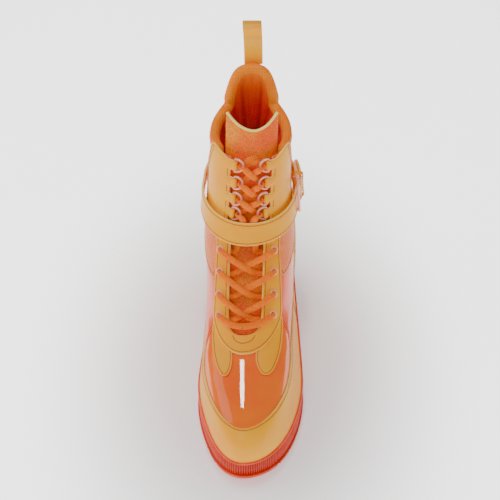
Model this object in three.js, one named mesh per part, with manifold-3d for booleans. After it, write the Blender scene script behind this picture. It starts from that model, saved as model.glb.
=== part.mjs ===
// Laced, buckled high-top boot for the left foot, on a ribbed platform sole.
// Millimetres, +Z up. -Y is towards the toe, +X is the outer (lateral) side of the foot.
// The origin lies on the ground under the middle of the sole.
import * as THREE from 'three';
import { mergeVertices } from 'three/addons/utils/BufferGeometryUtils.js';
import Module from 'manifold-3d';

const wasm = await Module();
wasm.setup();

// ---------------------------------------------------------------- driving dimensions
const SOLE_LENGTH = 284;          // toe tip of the upper to the back of the heel
const UPPER_HEIGHT = 243;         // sole's top face to the peak of the heel tab
const UPPER_WIDTH = 1;            // width factor of the last
const PLATFORM = 30;              // sole's top face above the ground, at the toe
const HEEL_RISE = 4;              // extra platform height under the heel
const TOE_SPRING = 8;             // lift of the tread at the toe tip
const TOE_SPRING_LENGTH = 75;
const TREAD_HEIGHT = 6;           // outsole rubber
const WELT_HEIGHT = 3;            // smooth lip on top of the ribbed band
const SEAT_GAP = 0.3;             // between pieces that touch
const SIDEWALL = 5;               // thickness of the rubber side band
const LEATHER = 1.5;
const BASE_LEATHER = 1.9;
const LINING = 1.4;
const STIFFENER = 1.4;
const STRAP_THICKNESS = 2.0;
const CHAPE_THICKNESS = 1.3;
const LACE_RADIUS = 1.2;
const EYELET_RADIUS = 4.1;
const EYELET_HOLE = 2.4;
const RING_WIRE = 1.0;            // radius of the lace rings' wire
const RING_BAR = 12;              // length of a ring's straight side
const RING_REACH = 8.3;
const TUBE_RADIUS = 2.6;          // rolled leather that holds the rings
const TUBE_BORE = 1.4;
const TUBE_LENGTH = 8.8;
const LOOP_WIDTH = 18;
const LOOP_HEIGHT = 47;
const LOOP_GAP = 9;
const BUCKLE_HEIGHT = 31;         // between the centres of the frame's long sides
const BUCKLE_WIRE = 1.3;
const PRONG_WIRE = 0.8;

// ---------------------------------------------------------------- shape of the last
// The upper is a fan of closed sections. Each row is one section: its front point on the
// instep line, its back point on the heel line, how long its nose is on either side,
// how far the instep line lies off centre, and the radius of its back.
const LAST_LENGTH = 284;
const LAST_HEIGHT = 243;
const LAST_BASE = 30;
const SECTIONS = [
  [4, 30, 286, 34, 104, 98, -8.0, 40],
  [2, 43, 288, 50, 104, 98, -8.0, 40],
  [6, 54, 288, 66, 102, 96, -8.0, 40],
  [16, 63, 287, 82, 100, 92, -8.0, 40],
  [37, 72, 284, 98, 96, 86, -8.2, 40],
  [64, 80, 281, 113, 90, 78, -8.4, 42],
  [92, 91, 279, 128, 82, 70, -8.6, 44],
  [115, 109, 278, 142, 70, 60, -8.5, 46],
  [138, 132, 278, 156, 58, 52, -7.5, 48],
  [160, 155, 278, 171, 50, 48, -5.8, 50],
  [173, 180, 280, 191, 46, 46, -3.0, 51],
  [184, 206, 282, 213, 42, 42, -0.5, 52],
  [196, 236, 285, 240, 36, 36, 1.5, 52],
  [208, 263, 288, 275, 28, 28, 2.5, 52],
  [216, 284, 291, 300, 22, 22, 3.0, 52],
];
const TOP = SECTIONS.length - 1;
// Half widths of the boot, by height (rows) and distance from the toe (columns).
const WIDTH_HEIGHTS = [30, 60, 100, 150, 200, 260];
const WIDTH_STATIONS = [40, 100, 160, 220, 280];
const LATERAL_WIDTHS = [
  [46, 47.5, 45.5, 42.5, 40.5],
  [39, 38.5, 39.5, 41, 40.5],
  [38, 38, 40.5, 42.5, 41],
  [40, 40, 39.5, 39.5, 40],
  [36.5, 36.5, 36.5, 37, 37.5],
  [39, 39, 39.5, 39.5, 39],
];
const MEDIAL_WIDTHS = [
  [47, 49, 43.5, 40, 39.5],
  [45, 46, 43, 41, 40],
  [43, 44, 43.5, 43.5, 41],
  [42, 43, 43.5, 43, 41],
  [40, 40, 40.5, 40.5, 39.5],
  [39.5, 39.5, 39.5, 39.5, 39],
];
const NOSE_POWER = 2.05;
const NOSE_END = 0.5;             // share of a side that is the section's nose
const BACK_START = 0.72;          // where the section's round back begins
const HALF_LENGTH = SOLE_LENGTH / 2;

function spline(p0, p1, p2, p3, u) {
  return 0.5 * (2 * p1 + (p2 - p0) * u + (2 * p0 - 5 * p1 + 4 * p2 - p3) * u * u
    + (3 * p1 - 3 * p2 + p3 - p0) * u * u * u);
}

function rowAt(rows, t) {
  const last = rows.length - 1;
  const s = Math.min(Math.max(t, 0), last);
  const i = Math.min(Math.floor(s), last - 1);
  const row = (k) => rows[Math.min(Math.max(k, 0), last)];
  return rows[0].map((_, c) => spline(row(i - 1)[c], row(i)[c], row(i + 1)[c], row(i + 2)[c], s - i));
}

function place(value, marks) {
  const last = marks.length - 1;
  if (value <= marks[0]) return 0;
  for (let i = 0; i < last; i += 1) {
    if (value < marks[i + 1]) return i + (value - marks[i]) / (marks[i + 1] - marks[i]);
  }
  return last;
}

function halfWidth(depth, height, side) {
  const rows = side >= 0 ? LATERAL_WIDTHS : MEDIAL_WIDTHS;
  const row = rowAt(rows, place(height, WIDTH_HEIGHTS));
  return rowAt(row.map((w) => [w]), place(depth, WIDTH_STATIONS))[0] * UPPER_WIDTH;
}

// level runs from 0 at the sole to TOP at the heel tab. around runs from 0 on the instep
// line to 1 at the back of the heel on the lateral side, and to -1 on the medial side.
function lastPoint(level, around) {
  let a = around;
  if (a > 1) a -= 2;
  if (a < -1) a += 2;
  const [fy, fz, by, bz, noseL, noseM, ridge, backRadius] = rowAt(SECTIONS, level);
  const length = Math.hypot(by - fy, bz - fz);
  const t = Math.abs(a);
  const nose = a >= 0 ? noseL : noseM;
  let along;
  let out = 1;
  if (t <= NOSE_END) {
    const angle = (t / NOSE_END) * Math.PI / 2;
    out = Math.pow(Math.max(Math.sin(angle), 0), 2 / NOSE_POWER);
    along = nose * (1 - Math.pow(Math.max(Math.cos(angle), 0), 2 / NOSE_POWER));
  } else if (t <= BACK_START) {
    along = nose + (t - NOSE_END) / (BACK_START - NOSE_END) * (length - nose - backRadius);
  } else {
    const angle = Math.min((t - BACK_START) / (1 - BACK_START), 1) * Math.PI / 2;
    along = length - backRadius + backRadius * Math.sin(angle);
    out = Math.cos(angle);
  }
  const share = along / length;
  const depth = fy + (by - fy) * share;
  const height = fz + (bz - fz) * share;
  const centre = ridge * Math.max(1 - 1.6 * share, 0) + 0.5 * share;
  const side = a >= 0 ? 1 : -1;
  const x = centre + (side * halfWidth(depth, height, side) - centre) * out;
  return new THREE.Vector3(
    x,
    depth * SOLE_LENGTH / LAST_LENGTH - HALF_LENGTH,
    PLATFORM + (height - LAST_BASE) * UPPER_HEIGHT / LAST_HEIGHT,
  );
}

function lastNormal(level, around) {
  const e = 0.02;
  const up = Math.min(level + e, TOP);
  const low = Math.max(level - e, 0);
  const rise = lastPoint(up, around).sub(lastPoint(low, around));
  const turn = lastPoint(level, around + e).sub(lastPoint(level, around - e));
  return turn.cross(rise).normalize();
}

// Point on the boot, h millimetres outside the last's surface.
function onBoot(level, around, h) {
  return lastPoint(level, around).addScaledVector(lastNormal(level, around), h);
}

// ---------------------------------------------------------------- solids
function closedGeometry(points, faces) {
  const geometry = new THREE.BufferGeometry();
  const flat = new Float32Array(points.length * 3);
  points.forEach((p, i) => p.toArray(flat, 3 * i));
  geometry.setAttribute('position', new THREE.BufferAttribute(flat, 3));
  geometry.setIndex(faces.flat());
  return geometry;
}

const LEVEL_LINES = [0, 1, 2, 3, 4.2, 5.4, 6.6, 7.8, 9, 10, 11, 12, 12.5, 13, 14];
const AROUND_LINES = [0, 0.12, 0.24, 0.36, 0.5, 0.61, 0.72, 0.81, 0.9, 1];
const TURN_LINES = [];
for (const side of [-2, 0, 2]) {
  for (const t of AROUND_LINES) {
    TURN_LINES.push(side + t);
    TURN_LINES.push(side - t);
  }
}
const AROUND_GRID = [...new Set(TURN_LINES.map((t) => Math.round(t * 100) / 100))]
  .filter((t) => t >= -1 && t <= 2).sort((p, q) => p - q);

function clip(outline, a, b) {
  const inside = (p) => (b[0] - a[0]) * (p[1] - a[1]) - (b[1] - a[1]) * (p[0] - a[0]) >= -1e-12;
  const result = [];
  outline.forEach((p, i) => {
    const q = outline[(i + 1) % outline.length];
    const pin = inside(p);
    const qin = inside(q);
    if (pin) result.push(p);
    if (pin !== qin) {
      const dp = (b[0] - a[0]) * (p[1] - a[1]) - (b[1] - a[1]) * (p[0] - a[0]);
      const dq = (b[0] - a[0]) * (q[1] - a[1]) - (b[1] - a[1]) * (q[0] - a[0]);
      const u = dp / (dp - dq);
      result.push([p[0] + (q[0] - p[0]) * u, p[1] + (q[1] - p[1]) * u]);
    }
  });
  return result;
}

// A leather panel: the outline, given as [level, around] corners, cut from the layer
// between h = low and h = high. All panels share one grid, so stacked layers stay parallel.
function panel(outlines, low, high) {
  const height = (h, p) => (typeof h === 'function' ? h(p[0], p[1]) : h);
  const points = [];
  const index = new Map();
  const top = [];
  const corner = (tri, p) => {
    const [a, b, c] = tri;
    const det = (b[0] - a[0]) * (c[1] - a[1]) - (c[0] - a[0]) * (b[1] - a[1]);
    const v = ((p[0] - a[0]) * (c[1] - a[1]) - (c[0] - a[0]) * (p[1] - a[1])) / det;
    const w = ((b[0] - a[0]) * (p[1] - a[1]) - (p[0] - a[0]) * (b[1] - a[1])) / det;
    const at = (h) => new THREE.Vector3()
      .addScaledVector(onBoot(a[0], a[1], height(h, a)), 1 - v - w)
      .addScaledVector(onBoot(b[0], b[1], height(h, b)), v)
      .addScaledVector(onBoot(c[0], c[1], height(h, c)), w);
    const outer = at(high);
    const key = outer.toArray().map((n) => Math.round(n * 200)).join();
    if (!index.has(key)) {
      index.set(key, points.length);
      points.push(outer, at(low));
    }
    return index.get(key);
  };
  for (const outline of outlines) {
    for (let i = 0; i + 1 < LEVEL_LINES.length; i += 1) {
      for (let j = 0; j + 1 < AROUND_GRID.length; j += 1) {
        const [l0, l1] = [LEVEL_LINES[i], LEVEL_LINES[i + 1]];
        const [t0, t1] = [AROUND_GRID[j], AROUND_GRID[j + 1]];
        for (const tri of [[[l0, t0], [l1, t0], [l1, t1]], [[l0, t0], [l1, t1], [l0, t1]]]) {
          const turn = (tri[1][0] - tri[0][0]) * (tri[2][1] - tri[0][1])
            - (tri[1][1] - tri[0][1]) * (tri[2][0] - tri[0][0]);
          const edge = turn > 0 ? tri : [tri[0], tri[2], tri[1]];
          let cut = outline;
          for (let k = 0; k < 3 && cut.length; k += 1) cut = clip(cut, edge[k], edge[(k + 1) % 3]);
          if (cut.length < 3) continue;
          const ids = [];
          for (const p of cut) {
            const id = corner(tri, p);
            if (ids[ids.length - 1] !== id && ids[0] !== id) ids.push(id);
          }
          if (ids.length < 3) continue;
          addFaces(top, cut, (p) => corner(tri, p));
        }
      }
    }
  }
  return shellFromTop(points, top);
}

function addFaces(top, cut, corner) {
  const plane = cut.map((p) => new THREE.Vector2(p[0], p[1]));
  const area = THREE.ShapeUtils.area(plane);
  if (Math.abs(area) < 1e-8) return;
  const order = area > 0 ? cut : [...cut].reverse();
  const contour = order.map((p) => new THREE.Vector2(p[0], p[1]));
  for (const face of THREE.ShapeUtils.triangulateShape(contour, [])) {
    const [a, b, c] = face.map((k) => corner(order[k]));
    if (a !== b && b !== c && c !== a) top.push([a, b, c]);
  }
}

// points hold outer and inner corners in turn; top holds the outer faces.
function shellFromTop(points, top) {
  const edges = new Map();
  for (const [a, b, c] of top) {
    for (const [p, q] of [[a, b], [b, c], [c, a]]) edges.set(`${p},${q}`, [p, q]);
  }
  const faces = [];
  for (const [a, b, c] of top) {
    faces.push([a, c, b], [a + 1, b + 1, c + 1]);
  }
  for (const [p, q] of edges.values()) {
    if (!edges.has(`${q},${p}`)) faces.push([p, q, q + 1], [p, q + 1, p + 1]);
  }
  return closedGeometry(points, faces);
}

// Round wire or cord through a list of points. A closed wire lies flat, across the vector up.
function tube(list, radius, sides, up = null) {
  const closed = up !== null;
  const count = list.length;
  const at = (i) => (closed ? list[(i + count) % count] : list[Math.min(Math.max(i, 0), count - 1)]);
  const points = [];
  let normal = new THREE.Vector3(0.31, 0.17, 0.93);
  for (let i = 0; i < count; i += 1) {
    const tangent = at(i + 1).clone().sub(at(i - 1)).normalize();
    if (closed) normal = up.clone();
    normal.addScaledVector(tangent, -normal.dot(tangent)).normalize();
    const binormal = new THREE.Vector3().crossVectors(tangent, normal);
    for (let k = 0; k < sides; k += 1) {
      const angle = (k / sides) * 2 * Math.PI;
      points.push(at(i).clone().addScaledVector(normal, radius * Math.cos(angle))
        .addScaledVector(binormal, radius * Math.sin(angle)));
    }
  }
  const faces = [];
  for (let i = 0; i < (closed ? count : count - 1); i += 1) {
    const a = i * sides;
    const b = ((i + 1) % count) * sides;
    for (let k = 0; k < sides; k += 1) {
      const n = (k + 1) % sides;
      faces.push([a + k, a + n, b + n], [a + k, b + n, b + k]);
    }
  }
  if (!closed) {
    const e = (count - 1) * sides;
    for (let k = 1; k + 1 < sides; k += 1) {
      faces.push([0, k + 1, k], [e, e + k, e + k + 1]);
    }
  }
  return closedGeometry(points, faces);
}

function smooth(list, perSpan, closed = false) {
  const spans = list.length - (closed ? 0 : 1);
  const points = new THREE.CatmullRomCurve3(list, closed, 'centripetal').getPoints(spans * perSpan);
  return closed ? points.slice(0, -1) : points;
}

function toManifold(geometry) {
  const bare = geometry.clone();
  bare.deleteAttribute('normal');
  bare.deleteAttribute('uv');
  const merged = mergeVertices(bare, 1e-4);
  return new wasm.Manifold(new wasm.Mesh({
    numProp: 3,
    vertProperties: new Float32Array(merged.attributes.position.array),
    triVerts: new Uint32Array(merged.index.array),
  }));
}

function fromManifold(solid) {
  const mesh = solid.getMesh();
  const geometry = new THREE.BufferGeometry();
  geometry.setAttribute('position', new THREE.BufferAttribute(new Float32Array(mesh.vertProperties), 3));
  geometry.setIndex([...mesh.triVerts]);
  return geometry;
}

function cutAway(geometry, tools) {
  let solid = toManifold(geometry);
  for (const tool of tools) solid = solid.subtract(toManifold(tool));
  return fromManifold(solid);
}

function joined(pieces) {
  let solid = toManifold(pieces[0]);
  for (const piece of pieces.slice(1)) solid = solid.add(toManifold(piece));
  return fromManifold(solid);
}

// ---------------------------------------------------------------- the assembly
const boot = new THREE.Group();
const FINISHES = {
  gold: ['#f9b43a', 0.45, 0],
  patent: ['#ff8c2e', 0.12, 0],
  coral: ['#ff9a78', 0.2, 0],
  pebbled: ['#f6ae45', 0.55, 0],
  lining: ['#f94f18', 0.8, 0],
  foam: ['#ffd9a0', 0.9, 0],
  lace: ['#fb9236', 0.8, 0],
  rubber: ['#e9512f', 0.5, 0],
  painted: ['#f9967a', 0.3, 0.3],
  board: ['#d8b48a', 0.8, 0],
  steel: ['#b9bcc0', 0.35, 1],
};

function add(name, finish, geometry) {
  const [color, roughness, metalness] = FINISHES[finish];
  const mesh = new THREE.Mesh(geometry, new THREE.MeshStandardMaterial({ color, roughness, metalness }));
  mesh.name = name;
  boot.add(mesh);
}

// Layers, as heights over the last.
const BASE = [-SEAT_GAP - BASE_LEATHER, -SEAT_GAP];
const STIFF = [BASE[0] - SEAT_GAP - STIFFENER, BASE[0] - SEAT_GAP];
const LINE = [STIFF[0] - SEAT_GAP - LINING, STIFF[0] - SEAT_GAP];
const OVER = [0, LEATHER];
const OUTER = [LEATHER + SEAT_GAP, 2 * LEATHER + SEAT_GAP];

// ---- sole: every layer follows the outline of the upper's lowest section
const SOLE_TURNS = [];
for (let i = -24; i < 24; i += 1) SOLE_TURNS.push(i / 24);

function soleOutline(offset) {
  return SOLE_TURNS.map((t) => {
    const p = lastPoint(0, t);
    const q = lastPoint(0, t + 0.01).sub(lastPoint(0, t - 0.01));
    const n = new THREE.Vector3(q.y, -q.x, 0).normalize();
    return p.addScaledVector(n, offset);
  });
}

const soleTop = (y) => PLATFORM + HEEL_RISE * (y + HALF_LENGTH) / SOLE_LENGTH - 1.4;
function treadLow(y) {
  const s = Math.max(1 - (y + HALF_LENGTH) / TOE_SPRING_LENGTH, 0);
  return TOE_SPRING * s * s;
}
const treadHigh = (y) => treadLow(y) + TREAD_HEIGHT;

// A slab of the sole between two heights, or a ring when inner is given.
function soleSlab(lowOffset, highOffset, low, high, inner = null) {
  const levels = [[lowOffset, low], [highOffset, high]];
  const points = [];
  const count = SOLE_TURNS.length;
  for (const [offset, z] of levels) {
    for (const p of soleOutline(offset)) points.push(new THREE.Vector3(p.x, p.y, z(p.y)));
  }
  const faces = [];
  for (let i = 0; i < count; i += 1) {
    const n = (i + 1) % count;
    faces.push([i, n, count + n], [i, count + n, count + i]);
  }
  if (inner === null) {
    const half = count / 2;
    for (let i = 0; i < half; i += 1) {
      const a = half + i;
      const b = (half + i + 1) % count;
      const c = (half - i - 1 + count) % count;
      const d = (half - i + count) % count;
      const quad = [a, b, c, d].filter((v, k, all) => all.indexOf(v) === k);
      for (let k = 1; k + 1 < quad.length; k += 1) {
        faces.push([quad[0], quad[k + 1], quad[k]]);
        faces.push([count + quad[0], count + quad[k], count + quad[k + 1]]);
      }
    }
    return closedGeometry(points, faces);
  }
  for (const z of [low, high]) {
    for (const p of soleOutline(inner)) points.push(new THREE.Vector3(p.x, p.y, z(p.y)));
  }
  for (let i = 0; i < count; i += 1) {
    const n = (i + 1) % count;
    faces.push([2 * count + i, 3 * count + n, 2 * count + n], [2 * count + i, 3 * count + i, 3 * count + n]);
    faces.push([i, 2 * count + n, n], [i, 2 * count + i, 2 * count + n]);
    faces.push([count + i, count + n, 3 * count + n], [count + i, 3 * count + n, 3 * count + i]);
  }
  return closedGeometry(points, faces);
}

const GROOVE = 4.5;
const GROOVE_PITCH = 17;
const GROOVE_DEPTH = 4;
function buildSole() {
  const grooves = [];
  for (let y = -HALF_LENGTH + 22; y < HALF_LENGTH - 14; y += GROOVE_PITCH) {
    for (const side of [-1, 1]) {
      const groove = new THREE.BoxGeometry(46, GROOVE, 2 * GROOVE_DEPTH);
      groove.rotateZ(side * 0.12);
      groove.translate(side * 41, y, treadLow(y));
      grooves.push(groove);
    }
  }
  add('outsole', 'rubber', cutAway(soleSlab(3.2, 3.6, treadLow, treadHigh), grooves));
  const core = soleSlab(-SIDEWALL - SEAT_GAP, -SIDEWALL - SEAT_GAP, (y) => treadHigh(y) + SEAT_GAP, soleTop);
  const pocket = new THREE.BoxGeometry(15, 101, 4.6);
  pocket.translate(0, 40, soleTop(40));
  add('midsole_core', 'foam', cutAway(core, [pocket]));
  const bandTop = (y) => soleTop(y) - WELT_HEIGHT - SEAT_GAP;
  add('ribbed_band', 'rubber', soleSlab(1.8, 2.4, (y) => treadHigh(y) + SEAT_GAP, bandTop, -SIDEWALL));
  add('welt', 'rubber', soleSlab(3.4, 2.6, (y) => soleTop(y) - WELT_HEIGHT, soleTop, -SIDEWALL));
  const shank = new THREE.BoxGeometry(14, 100, 1.6);
  shank.translate(0, 40, soleTop(40) - 1.3);
  add('shank', 'steel', shank);
  const lift = (h) => (y) => soleTop(y) + h;
  add('insole_board', 'board', soleSlab(-6.2, -6.2, lift(0.8), lift(3)));
  add('sockliner', 'lining', soleSlab(-7, -6.6, lift(3.3), lift(7)));
}

// ---- upper panels, as outlines of [level, around] corners
const mirror = (outline, shift = 0) => outline.map(([l, t]) => [l, shift - t]);
const THROAT = 0.12;              // half width of the lacing gap
const FEATHER = 0;                // level of the sole's edge
const THROAT_END = 6.35;
const QUARTER_TOP = 9.2;
const COLLAR = 11.97;              // level of the facings' and collar's top edge
const VAMP_SIDE = 0.47;
const GAP = 0.006;                // chart gap between panels that meet edge to edge
const LEVEL_GAP = 0.03;
const TAB = [[COLLAR, 0.84], [12.3, 0.872], [12.7, 0.903], [12.93, 0.935], [12.97, 1]];

function buildUpper() {
  const throatCut = [[THROAT_END, 0], [THROAT_END + 0.12, THROAT * 0.7], [THROAT_END + 0.4, THROAT]];
  const vampSide = [[FEATHER, VAMP_SIDE], [2.5, VAMP_SIDE - 0.02], [4.4, 0.4], [6.2, 0.26], [6.9, THROAT + 0.03]];
  const vampRight = [...vampSide, [6.9, THROAT], ...[...throatCut].reverse()];
  const vampLeft = mirror(vampRight).reverse();
  const vamp = panel([[[FEATHER, -VAMP_SIDE], ...vampRight, ...vampLeft.slice(1, -1)]], ...BASE);
  add('vamp', 'patent', cutAway(vamp, eyeletCutters()));
  for (const [side, sign] of [['lateral', 1], ['medial', -1]]) {
    const set = (outline) => (sign > 0 ? outline : mirror(outline));
    const back = [[QUARTER_TOP, 0.995], [FEATHER, 0.995]];
    const seam = vampSide.map(([l, t]) => [l, t + GAP]);
    const quarter = panel([set([...seam, [6.96, THROAT], [QUARTER_TOP, THROAT], ...back])], ...BASE);
    add(`quarter_${side}`, 'coral', cutAway(quarter, eyeletCutters()));
    const low = QUARTER_TOP + LEVEL_GAP;
    const rim = [...TAB].slice(0, -1);
    add(`shaft_panel_${side}`, 'coral', panel([set([[low, THROAT + 0.04], [COLLAR, THROAT + 0.04], ...rim,
      [12.97, 0.995], [low, 0.995]])], ...BASE));
    add(`ankle_panel_${side}`, 'pebbled', panel([set([[QUARTER_TOP, 0.22], [7.75, 0.25], [7.6, 0.3], [7.62, 0.36],
      [7.8, 0.44], [8.2, 0.53], [8.7, 0.585], [QUARTER_TOP, 0.6]])], ...OVER));
    const edge = THROAT + 0.045;
    add(`facing_${side}`, 'gold', facing(set, edge, sign));
    add(`wing_${side}`, 'gold', panel([set([[6.6, 0.25], [5.9, 0.075], [5.45, 0.08], [4.95, 0.12], [4.7, 0.17],
      [4.68, 0.22], [4.95, 0.27], [5.4, 0.3], [6, 0.3]])], ...OVER));
  }
  const guardRight = [[3.05, 0], [3.1, 0.12], [3.05, 0.24], [2.9, 0.34], [2.75, 0.42], [2.6, 0.5], [2.35, 0.61]];
  const guard = [...mirror(guardRight).slice(1).reverse(), ...guardRight];
  add('mudguard', 'gold', panel([[[FEATHER, -0.61], ...guard, [FEATHER, 0.61]]], ...OVER));
  const heelFront = [[FEATHER, 0.616], [2.3, 0.616], [3.6, 0.655], [5.2, 0.68], [7, 0.69], [8.3, 0.72], [8.65, 0.76]];
  const heel = [...heelFront, ...heelFront.map(([l, t]) => [l, 2 - t]).reverse()];
  add('heel_overlay', 'gold', panel([heel], ...OVER));
  add('backstay', 'gold', panel([[[8.75, 0.95], [12.52, 0.953], [12.52, 1.047], [8.75, 1.05]]], ...OVER));
  const stayRight = [[5.92, 0], [5.95, 0.1], [6.02, 0.17], [6.2, 0.225], [6.6, 0.25], [9.2, 0.235],
    [9.2, THROAT], [6.75, THROAT], [6.47, THROAT * 0.7], [6.4, 0.03]];
  const stay = [...stayRight, ...mirror(stayRight).slice(1).reverse()];
  add('lace_stay', 'gold', cutAway(panel([stay], ...OUTER), eyeletCutters()));
  add('toe_puff', 'board', panel([[[0.5, -0.4], [3.1, -0.3], [3.6, 0], [3.1, 0.3], [0.5, 0.4]]], ...STIFF));
  add('heel_counter', 'board', panel([[[0.5, 0.64], [3, 0.68], [5.2, 0.76], [5.9, 0.88], [5.9, 1.12], [5.2, 1.24],
    [3, 1.32], [0.5, 1.36]]], ...STIFF));
}

// The upper facing, with the rolled edge that holds the lace rings.
function facing(set, edge, sign) {
  const body = panel([set([[9.24, edge], [COLLAR - 0.12, edge], [COLLAR + 0.05, 0.24], [COLLAR + 0.16, 0.31],
    [COLLAR + 0.1, 0.36], [11.6, 0.41], [11.2, 0.46], [9.24, 0.46]])], ...OVER);
  const pieces = [body];
  for (const level of RING_LEVELS) {
    pieces.push(panel([set([[level - 0.13, RING_AROUND + 0.016], [level + 0.13, RING_AROUND + 0.016],
      [level + 0.13, edge + 0.01], [level - 0.13, edge + 0.01]])], 0.3, 1.2));
    pieces.push(ringTube(level, sign * RING_AROUND));
  }
  return joined(pieces);
}

// ---- lacing
const EYELET_LEVELS = [6.72, 7.4, 8.08, 8.74];
const EYELET_AROUND = { lateral: 0.19, medial: -0.2 };
const RING_LEVELS = [10.17, 10.7, 11.23, 11.76];
const RING_AROUND = 0.128;
const RING_LIFT = 0.75;           // height of the rings' bars over the last

// Local frame on the boot: e1 up the boot, e2 round it towards the medial side, e3 outwards.
function frameOn(level, around, h) {
  const origin = onBoot(level, around, h);
  const e3 = lastNormal(level, around);
  const e1 = onBoot(level + 0.1, around, h).sub(onBoot(level - 0.1, around, h)).normalize();
  const e2 = new THREE.Vector3().crossVectors(e3, e1).normalize();
  return { origin, e1, e2, e3: new THREE.Vector3().crossVectors(e1, e2) };
}

function placed(geometry, frame) {
  const turn = new THREE.Matrix4().makeBasis(frame.e1, frame.e2, frame.e3);
  geometry.applyMatrix4(turn);
  geometry.translate(...frame.origin.toArray());
  return geometry;
}

function polygonShape(points) {
  return new THREE.Shape(points.map(([x, y]) => new THREE.Vector2(x, y)));
}

function circlePoints(radius, sides) {
  const points = [];
  for (let k = 0; k < sides; k += 1) {
    const angle = (k / sides) * 2 * Math.PI;
    points.push([radius * Math.cos(angle), radius * Math.sin(angle)]);
  }
  return points;
}

// A short pipe along the frame's e1.
function pipe(frame, length, outer, inner) {
  const shape = polygonShape(circlePoints(outer, 10));
  shape.holes.push(polygonShape(circlePoints(inner, 10)));
  const geometry = new THREE.ExtrudeGeometry(shape, { depth: length, bevelEnabled: false, steps: 1 });
  geometry.translate(0, 0, -length / 2);
  geometry.rotateY(Math.PI / 2);
  return placed(geometry, frame);
}

function ringTube(level, around) {
  return pipe(frameOn(level, around, RING_LIFT), TUBE_LENGTH, TUBE_RADIUS, TUBE_BORE);
}

function laceRing(level, around) {
  const { origin, e1, e2, e3 } = frameOn(level, around, RING_LIFT);
  const inward = e2.clone().multiplyScalar(Math.sign(around));
  const half = RING_BAR / 2;
  const bow = RING_REACH;
  const outline = [[-half + 1.1, 0], [half - 1.1, 0], [half - 0.3, 0.3], [half, 1.1], [half - 0.3, 3.8],
    [half - 1.4, 6], [half * 0.45, bow - 0.7], [0, bow], [-half * 0.45, bow - 0.7], [-half + 1.4, 6],
    [-half + 0.3, 3.8], [-half, 1.1], [-half + 0.3, 0.3]];
  const list = outline.map(([u, v]) => origin.clone().addScaledVector(e1, u)
    .addScaledVector(inward, v).addScaledVector(e3, -0.1 * v));
  return tube(list, RING_WIRE, 6, e3);
}

function eyelet(level, around) {
  const profile = [[EYELET_HOLE, -0.3], [EYELET_RADIUS, -0.3], [EYELET_RADIUS - 0.4, 0.3], [EYELET_HOLE, 0.3]];
  const points = [...profile, profile[0]].map(([x, y]) => new THREE.Vector2(x, y));
  const geometry = new THREE.LatheGeometry(points, 12);
  geometry.rotateX(Math.PI / 2);
  return placed(geometry, frameOn(level, around, OUTER[1] + 0.75));
}

function eyeletCutters() {
  const cutters = [];
  for (const around of Object.values(EYELET_AROUND)) {
    for (const level of EYELET_LEVELS) {
      const cutter = new THREE.CylinderGeometry(EYELET_HOLE, EYELET_HOLE, 14, 8);
      cutter.rotateX(Math.PI / 2);
      cutters.push(placed(cutter, frameOn(level, around, 0)));
    }
  }
  return cutters;
}

// One end of the lace, from the middle of the bottom bar up to its tip inside the boot.
const OVER_STAY = 6.5;
const UNDER_STAY = -4.1;
function laceEnd(firstSide) {
  const points = [];
  const put = (level, around, h) => points.push(onBoot(level, around, h));
  let side = firstSide;
  const eyeletAround = () => (side > 0 ? EYELET_AROUND.lateral : EYELET_AROUND.medial);
  EYELET_LEVELS.forEach((level, i) => {
    const a = eyeletAround();
    if (i > 0) put(level - 0.1, 0.55 * a, 5);
    put(level - 0.02, 0.8 * a, OVER_STAY);
    put(level, 0.97 * a, 5.9);
    put(level, a, 4.2);
    put(level, a, 2);
    put(level, a, -2.3);
    put(level + 0.02, 0.92 * a, -3.9);
    put(level + 0.06, 0.7 * a, UNDER_STAY);
    put(level + 0.16, 0.38 * a, -2.8);
    side = -side;
    const last = i + 1 === EYELET_LEVELS.length;
    if (last) put(level + 0.42, 0.06 * -side, side < 0 ? 0.6 : -2.4);
    put(level + (last ? 0.7 : 0.36), 0, side < 0 ? 2.1 : -1.9);
  });
  RING_LEVELS.forEach((level, i) => {
    const through = 0.092 * side;
    const bow = 0.055 * side;
    if (i === 0) put(9.88, 0.5 * bow, 1.9);
    put(level - 0.05, bow * 0.9, 4.3);
    put(level - 0.01, through * 0.93, 3.6);
    put(level + 0.01, through, 1.4);
    put(level + 0.03, through * 0.93, -1.2);
    put(level + 0.1, bow * 0.9, -2.5);
    side = -side;
    if (i + 1 < RING_LEVELS.length) put(level + 0.28, 0, side < 0 ? 2.4 : -2.2);
  });
  const out = -side;
  const knot = firstSide > 0
    ? [[11.97, 0.02, -2.4], [11.98, -0.02, -4.6], [11.86, -0.045, -5]]
    : [[11.86, 0, -2.4], [11.83, -0.025, -4.4], [11.79, -0.045, -5]];
  for (const [level, around, h] of knot) put(level, around * out, h);
  return { points, out };
}

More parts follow.
